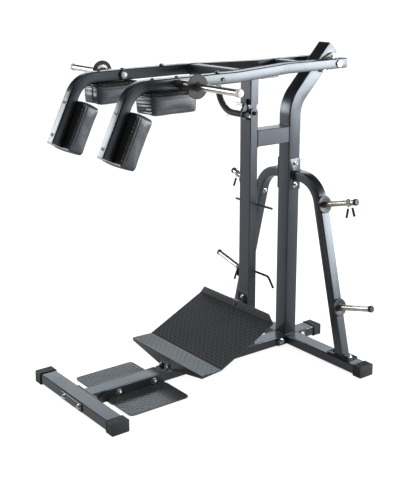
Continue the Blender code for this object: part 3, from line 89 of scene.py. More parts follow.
def meshFrom(bm, name):
    mesh = bpy.data.meshes.new(name)
    bm.to_mesh(mesh)
    bm.free()
    return mesh


def evaluatedMesh(piece):
    graph = bpy.context.evaluated_depsgraph_get()
    return bpy.data.meshes.new_from_object(piece.evaluated_get(graph))


def addPiece(name, bm, material, body, slot, place=None, smoothAngle=38, replaced=(), recalc=True):
    if place is not None:
        bmesh.ops.transform(bm, matrix=place, verts=bm.verts)
    if recalc:
        bmesh.ops.recalc_face_normals(bm, faces=bm.faces)
    addMesh(name, meshFrom(bm, name), material, body, slot, smoothAngle, replaced)


def addMesh(name, mesh, material, body, slot, smoothAngle=38, replaced=()):
    mesh.shade_smooth()
    mesh.set_sharp_from_angle(angle=math.radians(smoothAngle))
    mesh.materials.clear()
    mesh.materials.append(material)
    piece = linked(name, mesh)
    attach(piece, body)
    if replaced:
        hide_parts(*replaced)


def appendMesh(bm, mesh):
    bm.from_mesh(mesh)
    bpy.data.meshes.remove(mesh)


def unitBall(name, segments, rings):
    bm = bmesh.new()
    bmesh.ops.create_uvsphere(bm, u_segments=segments, v_segments=rings, radius=1)
    return meshFrom(bm, name)


def stamp(bm, unit, places):
    # copies of one small mesh, each with its own matrix
    for place in places:
        copy = unit.copy()
        copy.transform(place)
        appendMesh(bm, copy)


def pointsOf(faces):
    return list({corner for face in faces for corner in face.verts})


def regionOf(faces):
    return faces + list({edge for face in faces for edge in face.edges}) + pointsOf(faces)


def onlyFaces(items):
    return [item for item in items if isinstance(item, bmesh.types.BMFace)]


def onlyPoints(items):
    return [item for item in items if isinstance(item, bmesh.types.BMVert)]


def bevel(bm, geom, width, steps, affect="EDGES"):
    bmesh.ops.bevel(
        bm, geom=geom, offset=width, offset_type="OFFSET", segments=steps, profile=0.5, affect=affect,
        clamp_overlap=affect == "EDGES", material=-1,
    )


def section(bm, width, depth, corner, steps=4):
    # one flat face with rounded corners, in local XY
    made = bmesh.ops.create_grid(bm, x_segments=1, y_segments=1, size=0.5)
    bmesh.ops.scale(bm, vec=(width, depth, 1), verts=made["verts"])
    if corner:
        bevel(bm, made["verts"], corner, steps, "VERTICES")
    return bm.faces[:]


def extrude(bm, faces, step):
    made = bmesh.ops.extrude_face_region(bm, geom=regionOf(faces))["geom"]
    bmesh.ops.translate(bm, vec=step, verts=onlyPoints(made))
    return onlyFaces(made)


def extrudeTo(bm, faces, heading, point, normal=None):
    # moves on along heading until the plane through point
    normal = normal or heading
    grown = extrude(bm, faces, (0, 0, 0))
    for corner in pointsOf(grown):
        corner.co += heading * ((point - corner.co).dot(normal) / heading.dot(normal))
    return grown


def bendRound(bm, faces, centre, axis, angle, steps):
    made = bmesh.ops.spin(bm, geom=regionOf(faces), cent=centre, axis=axis, angle=angle, steps=steps)
    return onlyFaces(made["geom_last"])


def slab(width, depth, thickness, corner, edge=0.0, steps=4):
    # a plate lying on local z = 0, with softened edges
    bm = bmesh.new()
    extrude(bm, section(bm, width, depth, corner, steps), (0, 0, thickness))
    if edge:
        softenEdges(bm, edge, 2)
    return bm


def softenEdges(bm, width, steps=2, angle=50):
    sharp = [e for e in bm.edges if len(e.link_faces) == 2 and e.calc_face_angle(0) > math.radians(angle)]
    bevel(bm, sharp, width, steps)


def turned(profile, steps=40, bm=None, place=None):
    # profile is radius and height, closed on the axis at both ends
    bm = bm or bmesh.new()
    before = set(bm.verts)
    corners = [bm.verts.new((radius, 0, height)) for radius, height in profile]
    edges = [bm.edges.new(pair) for pair in zip(corners, corners[1:])]
    bmesh.ops.spin(
        bm, geom=corners + edges, cent=(0, 0, 0), axis=(0, 0, 1), angle=2 * math.pi, steps=steps, use_merge=True
    )
    made = [corner for corner in bm.verts if corner not in before]
    bmesh.ops.remove_doubles(bm, verts=made, dist=1e-6)
    if place is not None:
        bmesh.ops.transform(bm, matrix=place, verts=[corner for corner in bm.verts if corner not in before])
    return bm


def wireMesh(name, points, radius, radii=None, resolution=3, closed=False):
    # a round bar along points, as a mesh
    curve = bpy.data.curves.new(name, "CURVE")
    curve.dimensions = "3D"
    curve.bevel_depth = radius
    curve.bevel_resolution = resolution
    curve.use_fill_caps = not closed
    spline = curve.splines.new("POLY")
    spline.points.add(len(points) - 1)
    for index, where in enumerate(points):
        spline.points[index].co = (*where, 1)
        spline.points[index].radius = radii[index] if radii else 1
    spline.use_cyclic_u = closed
    holder = linked(name, curve)
    mesh = evaluatedMesh(holder)
    bpy.data.objects.remove(holder)
    bpy.data.curves.remove(curve)
    return mesh


def arcPoints(start, heading, towards, radius, angle, steps):
    centre = start + radius * towards
    turns = [angle * step / steps for step in range(1, steps + 1)]
    return [centre + radius * (math.sin(turn) * heading - math.cos(turn) * towards) for turn in turns]


# shader node helpers
def feed(socket, value):
    # links another node's socket, or sets a number, a vector or a colour
    if isinstance(value, bpy.types.NodeSocket):
        socket.id_data.links.new(value, socket)
    else:
        socket.default_value = (*value, 1) if socket.type == "RGBA" else value


def setNode(node, **values):
    # values name a node's own settings, or its inputs with spaces left out
    for key, value in values.items():
        if hasattr(node, key):
            setattr(node, key, value)
        else:
            feed(next(socket for socket in node.inputs if socket.name.replace(" ", "") == key), value)
    return node


def addNode(tree, kind, **values):
    return setNode(tree.nodes.new(kind), **values)


def newGroup(name, inputs, outputs):
    tree = bpy.data.node_groups.new(name, "ShaderNodeTree")
    for label, value in inputs.items():
        socket = tree.interface.new_socket(name=label, in_out="INPUT", socket_type="NodeSocketFloat")
        socket.default_value = value
    for label in outputs:
        tree.interface.new_socket(name=label, in_out="OUTPUT", socket_type="NodeSocketFloat")
    return tree, tree.nodes.new("NodeGroupInput").outputs, tree.nodes.new("NodeGroupOutput")


def mathNode(operation, first, second, clamp):
    tree = (first if isinstance(first, bpy.types.NodeSocket) else second).id_data
    node = addNode(tree, "ShaderNodeMath", operation=operation, use_clamp=clamp)
    feed(node.inputs[0], first)
    feed(node.inputs[1], second)
    return node.outputs[0]


def plus(first, second, clamp=False):
    return mathNode("ADD", first, second, clamp)


def minus(first, second):
    return mathNode("SUBTRACT", first, second, False)


def times(first, second, clamp=False):
    return mathNode("MULTIPLY", first, second, clamp)


def rangeNode(value, fromLow, fromHigh, toLow=0.0, toHigh=1.0):
    return addNode(
        value.id_data, "ShaderNodeMapRange", Value=value, FromMin=fromLow, FromMax=fromHigh, ToMin=toLow, ToMax=toHigh
    ).outputs["Result"]


def mixColour(factor, first, second):
    node = addNode(factor.id_data, "ShaderNodeMix", data_type="RGBA")
    for index, value in ((0, factor), (6, first), (7, second)):
        feed(node.inputs[index], value)
    return node.outputs[2]


def noiseNode(tree, scale, detail=3.0, roughness=0.55, stretch=None):
    # scale is in lumps a metre
    source = addNode(tree, "ShaderNodeTexCoord").outputs["Object"]
    if stretch:
        source = addNode(tree, "ShaderNodeMapping", Scale=stretch, Vector=source).outputs["Vector"]
    return addNode(
        tree, "ShaderNodeTexNoise", Scale=scale, Detail=detail, Roughness=roughness, Vector=source
    ).outputs["Fac"]


# shared effects
def makeGrainGroup():
    tree, given, end = newGroup("fineGrain", {"Scale": 600.0, "Contrast": 1.0}, ["Height", "Tone"])
    fine = noiseNode(tree, given["Scale"], 2.0, 0.5)
    tone = plus(times(fine, 0.45), times(noiseNode(tree, 7.0, 3.0, 0.5), 0.55))
    setNode(end, Height=fine, Tone=plus(times(minus(tone, 0.5), given["Contrast"]), 0.5, True))
    return tree


def makeEdgeWearAndHighlightGroup():
    # a mask on rounded edges where the paint is made lighter: partly wear, partly a painted highlight along the edges
    tree, given, end = newGroup("edgeWear", {"Sharpness": 6.0, "Patchiness": 0.5}, ["Mask"])
    rounded = addNode(tree, "ShaderNodeBevel", samples=4, Radius=0.0028)
    compare = addNode(tree, "ShaderNodeVectorMath", operation="DOT_PRODUCT")
    feed(compare.inputs[0], rounded.outputs[0])
    feed(compare.inputs[1], addNode(tree, "ShaderNodeNewGeometry").outputs["Normal"])
    edge = times(minus(1.0, compare.outputs["Value"]), given["Sharpness"], True)
    patches = times(rangeNode(noiseNode(tree, 38.0, 4.0), 0.38, 0.62), given["Patchiness"])
    setNode(end, Mask=times(edge, minus(1.0, patches), True))
    return tree


def makeScuffGroup():
    tree, given, end = newGroup("lightScuffs", {"Amount": 0.3}, ["Mask"])
    first = rangeNode(noiseNode(tree, 60.0, 5.0, 0.6, (9.0, 0.7, 9.0)), 0.60, 0.68)
    second = rangeNode(noiseNode(tree, 48.0, 5.0, 0.6, (0.8, 10.0, 3.0)), 0.61, 0.70)
    where = rangeNode(noiseNode(tree, 5.0, 2.0), 0.48, 0.66)
    setNode(end, Mask=times(times(plus(first, second, True), where), given["Amount"], True))
    return tree


def makeDustGroup():
    tree, given, end = newGroup("settledDust", {"Amount": 0.2}, ["Mask"])
    normal = addNode(tree, "ShaderNodeNewGeometry").outputs["Normal"]
    upward = rangeNode(addNode(tree, "ShaderNodeSeparateXYZ", Vector=normal).outputs["Z"], 0.3, 1.0)
    specks = rangeNode(noiseNode(tree, 90.0, 6.0, 0.7), 0.40, 0.75)
    setNode(end, Mask=times(times(upward, specks), given["Amount"], True))
    return tree


grainGroup = makeGrainGroup()
edgeWearAndHighlightGroup = makeEdgeWearAndHighlightGroup()
scuffGroup = makeScuffGroup()
dustGroup = makeDustGroup()


def useGroup(tree, group, **values):
    return addNode(tree, "ShaderNodeGroup", node_tree=group, **values).outputs


def newMaterial(name, metallic=0.0, specular=0.5, coat=0.0, coatRoughness=0.1):
    material = bpy.data.materials.new(name)
    material.use_nodes = True
    shader = material.node_tree.nodes["Principled BSDF"]
    setNode(shader, Metallic=metallic, SpecularIORLevel=specular, CoatWeight=coat, CoatRoughness=coatRoughness)
    return material, material.node_tree, shader


def dress(shader, colour, roughness, height, strength, distance):
    bump = addNode(shader.id_data, "ShaderNodeBump", Strength=strength, Distance=distance, Height=height)
    setNode(shader, BaseColor=colour, Roughness=roughness, Normal=bump.outputs["Normal"])


def makePowderCoat(name, look):
    # sprayed and baked paint: fine orange peel, thin bright edges that are part wear and part painted highlight, a few
    # scuffs
    material, tree, shader = newMaterial(name, look["metallic"], look["specular"], look["coat"], 0.14)
    setNode(shader, SpecularTint=look["sheen"])
    grain = useGroup(tree, grainGroup, Scale=look["grainScale"], Contrast=look["contrast"])
    edge = useGroup(tree, edgeWearAndHighlightGroup, Sharpness=look["edge"], Patchiness=0.5)["Mask"]
    scuff = useGroup(tree, scuffGroup, Amount=look["scuff"])["Mask"]
    dust = useGroup(tree, dustGroup, Amount=look["dust"])["Mask"]
    colour = mixColour(grain["Tone"], look["dark"], look["light"])
    # edges mixed towards a lighter colour: part wear, part painted highlight
    colour = mixColour(edge, colour, look["edgeColour"])
    colour = mixColour(scuff, colour, look["scuffColour"])
    colour = mixColour(dust, colour, (0.30, 0.29, 0.27))
    rough = rangeNode(grain["Tone"], 0.3, 0.7, look["roughness"] - 0.05, look["roughness"] + 0.05)
    rough = plus(minus(rough, times(scuff, 0.08)), times(dust, 0.3), True)
    dress(shader, colour, rough, grain["Height"], look["bump"], 0.0003)
    return material


paintLooks = {
    "anthracitePaint": {
        "dark": (0.0045, 0.0052, 0.0068), "light": (0.011, 0.0128, 0.0162), "edgeColour": (0.060, 0.066, 0.074),
        "scuffColour": (0.060, 0.064, 0.070), "sheen": (0.84, 0.92, 1.0), "metallic": 0.0, "specular": 0.68,
        "roughness": 0.33, "coat": 0.12, "grainScale": 700.0, "contrast": 0.9, "bump": 0.06, "edge": 5.0,
        "scuff": 0.10, "dust": 0.03,
    },
    "blackPaint": {
        "dark": (0.004, 0.004, 0.0045), "light": (0.009, 0.009, 0.010), "edgeColour": (0.045, 0.047, 0.050),
        "scuffColour": (0.04, 0.04, 0.04), "sheen": (0.95, 0.98, 1.0), "metallic": 0.0, "specular": 0.75,
        "roughness": 0.32, "coat": 0.15, "grainScale": 700.0, "contrast": 0.9, "bump": 0.08, "edge": 4.0,
        "scuff": 0.12, "dust": 0.04,
    },
    # the footplate's lugs: the tread paint made several times lighter, a painted highlight on the raised lugs
    "lugPaint": {
        "dark": (0.034, 0.035, 0.038), "light": (0.088, 0.090, 0.097), "edgeColour": (0.130, 0.134, 0.140),
        "scuffColour": (0.110, 0.110, 0.110), "sheen": (0.90, 0.95, 1.0), "metallic": 0.0, "specular": 0.75,
        "roughness": 0.34, "coat": 0.2, "grainScale": 420.0, "contrast": 1.2, "bump": 0.30, "edge": 4.0,
        "scuff": 0.20, "dust": 0.08,
    },
    "treadPaint": {
        "dark": (0.0095, 0.0098, 0.0112), "light": (0.024, 0.025, 0.028), "edgeColour": (0.070, 0.073, 0.078),
        "scuffColour": (0.060, 0.060, 0.060), "sheen": (0.90, 0.95, 1.0), "metallic": 0.0, "specular": 0.5,
        "roughness": 0.40, "coat": 0.2, "grainScale": 420.0, "contrast": 1.2, "bump": 0.45, "edge": 4.0,
        "scuff": 0.20, "dust": 0.08,
    },
    "castPaint": {
        "dark": (0.10, 0.12, 0.11), "light": (0.20, 0.23, 0.21), "edgeColour": (0.30, 0.32, 0.30),
        "scuffColour": (0.30, 0.30, 0.28), "sheen": (1.0, 1.0, 1.0), "metallic": 0.1, "specular": 0.5,
        "roughness": 0.45, "coat": 0.2, "grainScale": 300.0, "contrast": 1.3, "bump": 0.6, "edge": 3.0,
        "scuff": 0.1, "dust": 0.05,
    },
}
paints = {name: makePowderCoat(name, look) for name, look in paintLooks.items()}


def makePlating(name, look, metallic=1.0):
    # bright metal with faint turning lines and a little clouding
    material, tree, shader = newMaterial(name, metallic)
    cloud = rangeNode(noiseNode(tree, look["cloudScale"], 4.0), 0.35, 0.65)
    lines = noiseNode(tree, look["lineScale"], 3.0, 0.6, look["stretch"])
    scuff = useGroup(tree, scuffGroup, Amount=look["scuff"])["Mask"]
    rough = rangeNode(lines, 0.3, 0.7, look["roughness"] * 0.7, look["roughness"] * 1.4)
    rough = plus(rough, times(scuff, 0.25), True)
    dress(shader, mixColour(cloud, look["dark"], look["light"]), rough, lines, look["bump"], 0.0001)
    return material


chrome = makePlating("polishedChrome", {
    "dark": (0.50, 0.465, 0.415), "light": (0.69, 0.655, 0.60), "cloudScale": 22.0, "lineScale": 260.0,
    "stretch": (6.0, 1.0, 1.0), "roughness": 0.30, "scuff": 0.5, "bump": 0.05,
})
satinNickel = makePlating("satinNickel", {
    "dark": (0.52, 0.51, 0.49), "light": (0.70, 0.69, 0.67), "cloudScale": 90.0, "lineScale": 700.0,
    "stretch": (1.0, 1.0, 1.0), "roughness": 0.50, "scuff": 0.3, "bump": 0.10,
}, 0.35)
zinc = makePlating("brightZinc", {
    "dark": (0.50, 0.51, 0.52), "light": (0.74, 0.75, 0.76), "cloudScale": 160.0, "lineScale": 900.0,
    "stretch": (1.0, 1.0, 1.0), "roughness": 0.26, "scuff": 0.4, "bump": 0.15,
})


def makeRubber(name, dark, light, roughness, scale, bumpStrength):
    material, tree, shader = newMaterial(name, 0.0, 0.4)
    grain = useGroup(tree, grainGroup, Scale=scale, Contrast=1.4)
    dust = useGroup(tree, dustGroup, Amount=0.22)["Mask"]
    colour = mixColour(dust, mixColour(grain["Tone"], dark, light), (0.20, 0.19, 0.18))
    rough = rangeNode(grain["Tone"], 0.3, 0.7, roughness - 0.06, roughness + 0.08)
    dress(shader, colour, rough, grain["Height"], bumpStrength, 0.0004)
    return material


rubber = makeRubber("blackRubber", (0.009, 0.009, 0.0095), (0.027, 0.027, 0.028), 0.52, 520.0, 0.5)
gripRubber = makeRubber("gripRubber", (0.007, 0.007, 0.008), (0.018, 0.018, 0.019), 0.56, 380.0, 0.7)
plastic = makeRubber("blackPlastic", (0.008, 0.008, 0.009), (0.016, 0.016, 0.017), 0.44, 800.0, 0.2)
backingBoard = makeRubber("backingBoard", (0.004, 0.004, 0.004), (0.009, 0.009, 0.009), 0.45, 240.0, 0.4)
wrapVinyl = makeRubber("wrapVinyl", (0.006, 0.006, 0.007), (0.014, 0.014, 0.016), 0.24, 300.0, 0.3)
# light grey beads that stand in for highlights on black plastic rims: painted highlight
paleTrim = makeRubber("paleTrim", (0.58, 0.59, 0.61), (0.76, 0.77, 0.80), 0.36, 300.0, 0.1)
thread = makeRubber("blackThread", (0.015, 0.015, 0.017), (0.05, 0.05, 0.055), 0.60, 2400.0, 0.4)


def makeVinyl():
    # pebbled upholstery vinyl over foam
    look = {"dark": (0.024, 0.028, 0.035), "light": (0.050, 0.059, 0.073), "pebbles": 620.0, "roughness": 0.36}
    material, tree, shader = newMaterial("padVinyl", 0.0, 0.55, 0.18, 0.20)
    pebble = addNode(
        tree, "ShaderNodeTexVoronoi", feature="SMOOTH_F1", Scale=look["pebbles"], Smoothness=0.6,
        Vector=addNode(tree, "ShaderNodeTexCoord").outputs["Object"],
    )
    valley = rangeNode(pebble.outputs["Distance"], 0.15, 0.75)
    # the valleys between pebbles are made darker: painted shade in the hollows
    tone = plus(times(valley, -0.35), noiseNode(tree, 9.0, 2.0), True)
    dust = useGroup(tree, dustGroup, Amount=0.10)["Mask"]
    colour = mixColour(rangeNode(tone, 0.1, 0.6), look["dark"], look["light"])
    colour = mixColour(dust, colour, (0.24, 0.24, 0.23))
    rough = rangeNode(tone, 0.1, 0.6, look["roughness"] + 0.08, look["roughness"] - 0.06)
    dress(shader, colour, rough, times(valley, -1.0), 0.35, 0.0003)
    return material


vinyl = makeVinyl()
report("materials ready")

slotLooks = {
    "frame_steel": paints["anthracitePaint"],
    "black_steel": paints["blackPaint"],
    "checker_steel": paints["treadPaint"],
    "cast_iron": paints["castPaint"],
    "rubber": rubber,
    "chrome": chrome,
    "zinc": zinc,
    "board": backingBoard,
    "vinyl": vinyl,
}
for part in frame["record"]["subparts"]:
    for place in nodes[part["node"]].material_slots:
        place.material = slotLooks[part["material_slot"]]


# camera
view = {"place": (3.468, -2.6728, 1.937), "yaw": 0.9215, "pitch": -0.241, "lens": 66.84, "sensor": 36, "shiftY": -0.1}


def makeCamera():
    camera = bpy.data.cameras.new("viewCamera")
    camera.lens = view["lens"]
    camera.sensor_width = view["sensor"]
    camera.shift_y = view["shiftY"]
    flat = math.cos(view["pitch"])
    forward = Vector((-math.sin(view["yaw"]) * flat, math.cos(view["yaw"]) * flat, math.sin(view["pitch"])))
    bpy.context.scene.camera = aimed("viewCamera", camera, view["place"], forward)


makeCamera()

# lever arms
lever = {
    "pivot": middleOf("pivot_shaft"), "rise": math.radians(0.77), "size": 0.050, "corner": 0.0055,
    "frontX": 0.2175, "rearX": 0.105, "kinkRear": 0.352, "kinkFront": 0.752, "behindPivot": 0.053,
    "legReach": 1.4424, "legDrop": 0.3047, "legSlant": math.radians(25.3), "bendRadius": 0.125, "bendSteps": 28,
}
armBack = Vector((0, math.cos(lever["rise"]), math.sin(lever["rise"])))
armUp = Vector((0, -math.sin(lever["rise"]), math.cos(lever["rise"])))
legUp = Vector((0, math.sin(lever["legSlant"]), math.cos(lever["legSlant"])))
legBack = Vector((0, math.cos(lever["legSlant"]), -math.sin(lever["legSlant"])))
legFoot = lever["pivot"] + Vector((0, -lever["legReach"], -lever["legDrop"]))


def armPoint(reach, x=0.0, above=0.0):
    # a place ahead of the pivot along the arms' centre line
    return lever["pivot"] + Vector((x, 0, 0)) - reach * armBack + above * armUp


def legPoint(up, x=0.0, rearward=0.0):
    return legFoot + Vector((x, 0, 0)) + up * legUp + rearward * legBack


def makeArm(name, side):
    x = side * lever["frontX"]
    bm = bmesh.new()
    faces = section(bm, lever["size"], lever["size"], lever["corner"])
    bmesh.ops.transform(bm, matrix=facing(legPoint(0, x), legUp), verts=bm.verts)
    foot = legFoot - lever["pivot"]
    corner = legFoot - foot.dot(armUp) / legUp.dot(armUp) * legUp
    turn = math.pi / 2 - lever["legSlant"] - lever["rise"]
    start = corner - lever["bendRadius"] * math.tan(turn / 2) * legUp + Vector((x, 0, 0))
    faces = extrudeTo(bm, faces, legUp, start)
    faces = bendRound(bm, faces, start + lever["bendRadius"] * legBack, (1, 0, 0), -turn, lever["bendSteps"])
    first = armPoint(lever["kinkFront"], x)
    second = armPoint(lever["kinkRear"], side * lever["rearX"])
    slanted = (second - first).normalized()
    mitre = (slanted + armBack).normalized()
    faces = extrudeTo(bm, faces, armBack, first, mitre)
    faces = extrudeTo(bm, faces, slanted, second, mitre)
    extrudeTo(bm, faces, armBack, armPoint(-lever["behindPivot"], side * lever["rearX"]))
    softenEdges(bm, 0.0008, 2, 60)
    node = name.replace("leverArm", "lever_arm_").lower()
    addPiece(name, bm, paints["anthracitePaint"], "lever", "frame_steel", replaced=[node])


for word, _, side in sides:
    makeArm("leverArm" + word, side)
report("lever arms bent")

# mast
mast = {
    "width": 0.080, "depth": 0.0756, "corner": 0.0055, "bendHeight": 1.230, "bendRadius": 0.162,
    "lean": math.radians(43.3), "straight": 0.302, "steps": 26,
}
mastAlong = Vector((0, math.sin(mast["lean"]), math.cos(mast["lean"])))
mastBack = Vector((0, math.cos(mast["lean"]), -math.sin(mast["lean"])))


def makeMast():
    low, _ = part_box("rear_upright")
    foot = Vector((0, low.y + mast["depth"] / 2, low.z))
    bm = bmesh.new()
    faces = section(bm, mast["width"], mast["depth"], mast["corner"])
    bmesh.ops.translate(bm, vec=foot, verts=bm.verts)
    knee = Vector((0, foot.y, mast["bendHeight"]))
    faces = extrudeTo(bm, faces, zAxis, knee)
    centre = knee + Vector((0, mast["bendRadius"], 0))
    faces = bendRound(bm, faces, centre, (1, 0, 0), -mast["lean"], mast["steps"])
    end = centre - mast["bendRadius"] * mastBack + mast["straight"] * mastAlong
    extrudeTo(bm, faces, mastAlong, end)
    softenEdges(bm, 0.0008, 2, 60)
    addPiece("rearUprightTube", bm, paints["anthracitePaint"], "frame", "frame_steel", replaced=["rear_upright"])
    return foot, end


mastFoot, mastEnd = makeMast()

# storage arms
storage = {
    "depth": 0.055, "width": 0.050, "corner": 0.0055, "height": 0.923, "bendX": 0.087, "bendRadius": 0.140,
    "lean": math.radians(14), "plate": 0.006, "flangeLength": 0.166, "flangeDepth": 0.074, "flangeMiddle": 0.006,
    "footLength": 0.150, "steps": 30, "behind": 0.014, "pegHeights": (("Upper", 0.802), ("Lower", 0.295)),
}
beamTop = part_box("base_beam")[1].z
plateFoot = beamTop + 0.0003
plateTop = plateFoot + storage["plate"]
storageY = mastFoot.y + storage["behind"]
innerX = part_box("storage_arm_right")[0].x


def storageOut(side):
    return Vector((side * math.cos(storage["lean"]), 0, math.sin(storage["lean"])))


def storageX(z):
    turn = math.pi / 2 - storage["lean"]
    endX = storage["bendX"] + storage["bendRadius"] * math.sin(turn)
    endZ = storage["height"] - storage["bendRadius"] * (1 - math.cos(turn))
    return endX + (endZ - z) * math.tan(storage["lean"])


def makeStorageArm(word, node, side):
    bm = bmesh.new()
    faces = section(bm, storage["depth"], storage["width"], storage["corner"])
    outward = Vector((side, 0, 0))
    start = Vector((side * (innerX + 0.003), storageY, storage["height"]))
    bmesh.ops.transform(bm, matrix=facing(start, outward, yAxis), verts=bm.verts)
    knee = Vector((side * storage["bendX"], storageY, storage["height"]))
    faces = extrudeTo(bm, faces, outward, knee)
    turn = math.pi / 2 - storage["lean"]
    centre = knee - Vector((0, 0, storage["bendRadius"]))
    faces = bendRound(bm, faces, centre, (0, 1, 0), side * turn, storage["steps"])
    down = Vector((side * math.sin(storage["lean"]), 0, -math.cos(storage["lean"])))
    extrudeTo(bm, faces, down, Vector((0, 0, plateTop - 0.001)), zAxis)
    upperMiddle = Vector((side * innerX, mastFoot.y, storage["height"] + storage["flangeMiddle"]))
    lowerMiddle = Vector((side * storageX(plateTop), storageY, plateFoot))
    for length, where, heading in (
        (storage["flangeLength"], upperMiddle, outward), (storage["footLength"], lowerMiddle, zAxis),
    ):
        flange = slab(storage["flangeDepth"], length, storage["plate"], 0.006, 0.0008)
        bmesh.ops.transform(flange, matrix=facing(where, heading, yAxis), verts=flange.verts)
        appendMesh(bm, meshFrom(flange, "flange"))
    addPiece(
        "storageArm" + word, bm, paints["anthracitePaint"], "frame", "frame_steel", replaced=["storage_arm_" + node]
    )


for word, node, side in sides:
    makeStorageArm(word, node, side)
report("mast and storage arms bent")

# bolts, nuts and washers
def addWasher(bm, where, heading, radius, thickness=0.0016):
    # lies on the face at where; gives back the frame of its bolt
    place = facing(where, heading, zAxis if abs(heading.z) < 0.9 else xAxis)
    inner = radius * 0.5
    profile = [(inner, 0), (radius - 0.0004, 0), (radius, 0.0004), (radius, thickness - 0.0004)]
    turned([*profile, (radius - 0.0005, thickness), (inner, thickness)], 28, bm, place)
    return place


def addHexagon(bm, place, radius, height, base=0.0016, chamfer=0.0012):
    before = set(bm.verts)
    bmesh.ops.create_circle(bm, cap_ends=True, segments=6, radius=radius, matrix=Matrix.Translation((0, 0, base)))
    made = [corner for corner in bm.verts if corner not in before]
    grown = extrude(bm, list({face for corner in made for face in corner.link_faces}), (0, 0, height))
    bevel(bm, list(grown[0].edges), chamfer, 2)
    bmesh.ops.transform(bm, matrix=place, verts=[corner for corner in bm.verts if corner not in before])


def addCapNut(bm, where, heading, size=0.0095, washer=0.0125):
    # washer, hexagon and a domed top
    place = addWasher(bm, where, heading, washer)
    addHexagon(bm, place, size, size * 0.55)
    base = 0.0016 + size * 0.5
    dome = [(size * 0.82 * math.cos(turn), base + size * 0.72 * math.sin(turn)) for turn in
            [math.pi / 2 * step / 7 for step in range(7)]]
    turned([(size * 0.82, base - 0.001), *dome, (0, base + size * 0.72)], 28, bm, place)


def addHexBolt(bm, where, heading, size=0.0095, washer=0.0125):
    # the head's end, with its shallow dished top
    place = addWasher(bm, where, heading, washer)
    addHexagon(bm, place, size, size * 0.6)
    top = 0.0016 + size * 0.6
    turned([(size * 0.7, top - 0.001), (size * 0.7, top + 0.0005), (size * 0.6, top + 0.0002), (0, top)], 24, bm, place)


def addThreadNut(bm, where, heading, size=0.0095, washer=0.0125, thread=0.0046):
    # the other end: washer, nut and some turns of thread standing out
    place = addWasher(bm, where, heading, washer)
    addHexagon(bm, place, size, size * 0.7)
    top = 0.0016 + size * 0.7
    profile = [(thread, top - 0.001)]
    for turn in range(4):
        profile += [(thread, top + 0.0011 * turn + 0.0002), (thread - 0.0005, top + 0.0011 * turn + 0.0008)]
    end = top + 0.0011 * 4
    turned([*profile, (thread - 0.0008, end + 0.0004), (0, end + 0.0004)], 20, bm, place)


def addButton(bm, where, heading, size=0.0088):
    # low round head with a hexagonal socket
    place = facing(where, heading, xAxis if abs(heading.x) < 0.9 else zAxis)
    tall = size * 0.58
    dome = [(size * math.cos(turn), tall * math.sin(turn)) for turn in [math.pi / 2 * step / 8 for step in range(6)]]
    mouth = size * 0.46
    turned([(size, -0.001), *dome, (mouth, tall * 0.99), (mouth, tall * 0.35), (0, tall * 0.30)], 30, bm, place)


bolts = {
    "headProud": 0.0055, "footBoltX": 0.065, "sheet": 0.004, "legBolts": (0.192, 0.036), "topBolts": (1.200, 1.074),
    "stopReach": 0.85, "stopSideReach": 0.838, "underReach": 0.032, "skirtX": 0.024, "skirtUp": 0.012, "strapZ": 0.317,
    "sheetZ": 0.291, "flangeOut": 0.050, "flangeIn": 0.054, "bearingReach": 0.045, "bearingFace": 0.0403 + 0.014,
}
replacedBolts = (
    ("floor_plate_bolt_front", "zinc", 0.0122), ("floor_plate_bolt_rear", "zinc", 0.0122),
    ("rear_leg_bolt_front", "zinc", 0.0118), ("rear_leg_bolt_rear", "zinc", 0.0118),
    ("storage_bolt_upper", "zinc", 0.0105), ("storage_bolt_lower", "zinc", 0.0105),
    ("prop_bolt", "black_steel", 0.0115),
)


def makeThroughBolts():
    for node, slot, size in replacedBolts:
        low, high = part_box(node)
        middle = (low + high) / 2
        bm = bmesh.new()
        face = high.x - bolts["headProud"]
        addEnd = addCapNut if "leg" not in node else addHexBolt
        addEnd(bm, Vector((face, middle.y, middle.z)), xAxis, size, size * 1.32)
        addThreadNut(bm, Vector((-face, middle.y, middle.z)), -xAxis, size, size * 1.32, size * 0.5)
        shaft = [(size * 0.42, -face), (size * 0.42, face)]
        turned([(0, -face), *shaft, (0, face)], 16, bm, facing(Vector((0, middle.y, middle.z)), xAxis, zAxis))
        word = "".join(part.capitalize() for part in node.split("_"))
        look = zinc if slot == "zinc" else paints["blackPaint"]
        addPiece(word[0].lower() + word[1:] + "Set", bm, look, "frame", slot, replaced=[node])


def makeLooseBolts():
    bright, dark = bmesh.new(), bmesh.new()
    footLow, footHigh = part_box("front_foot_bolts")
    footZ = ((footLow + footHigh) / 2).z
    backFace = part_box("base_beam")[0].y + storage["plate"]
    skirtLow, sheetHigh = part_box("footplate")
    skirtFace = skirtLow.y - bolts["sheet"] - 0.0023
    for side in (-1, 1):
        x = side * bolts["footBoltX"]
        addCapNut(bright, Vector((x, footLow.y + bolts["headProud"], footZ)), -yAxis, 0.0092)
        addThreadNut(bright, Vector((x, backFace, footZ)), yAxis, 0.0092)
        where = Vector((side * bolts["skirtX"], skirtFace, beamTop + bolts["skirtUp"]))
        if side < 0:
            addCapNut(bright, where, -yAxis, 0.0104, 0.0126)
        else:
            addButton(bright, where, -yAxis, 0.0062)
    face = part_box("front_upright")[0].y - bolts["sheet"] - 0.0003
    addCapNut(bright, Vector((0, face, bolts["strapZ"])), -yAxis, 0.0096, 0.0124)
    addButton(dark, Vector((0, sheetHigh.y - bolts["sheet"], bolts["sheetZ"])), -yAxis)
    x = storageX(plateTop)
    for side in (-1, 1):
        addCapNut(bright, Vector((side * (x + bolts["flangeOut"]), storageY, plateTop)), zAxis, 0.0125, 0.0160)
        addHexBolt(dark, Vector((side * (x - bolts["flangeIn"]), storageY, plateTop)), zAxis, 0.0095)
        direction = storageOut(side)
        for _, z in storage["pegHeights"]:
            where = Vector((side * storageX(z), storageY, z)) - storage["width"] / 2 * direction
            addCapNut(bright, where, -direction, 0.0098, 0.0130)
    addPiece("frameBrightBolts", bright, zinc, "frame", "zinc")
    addPiece("frameDarkBolts", dark, paints["blackPaint"], "frame", "black_steel")


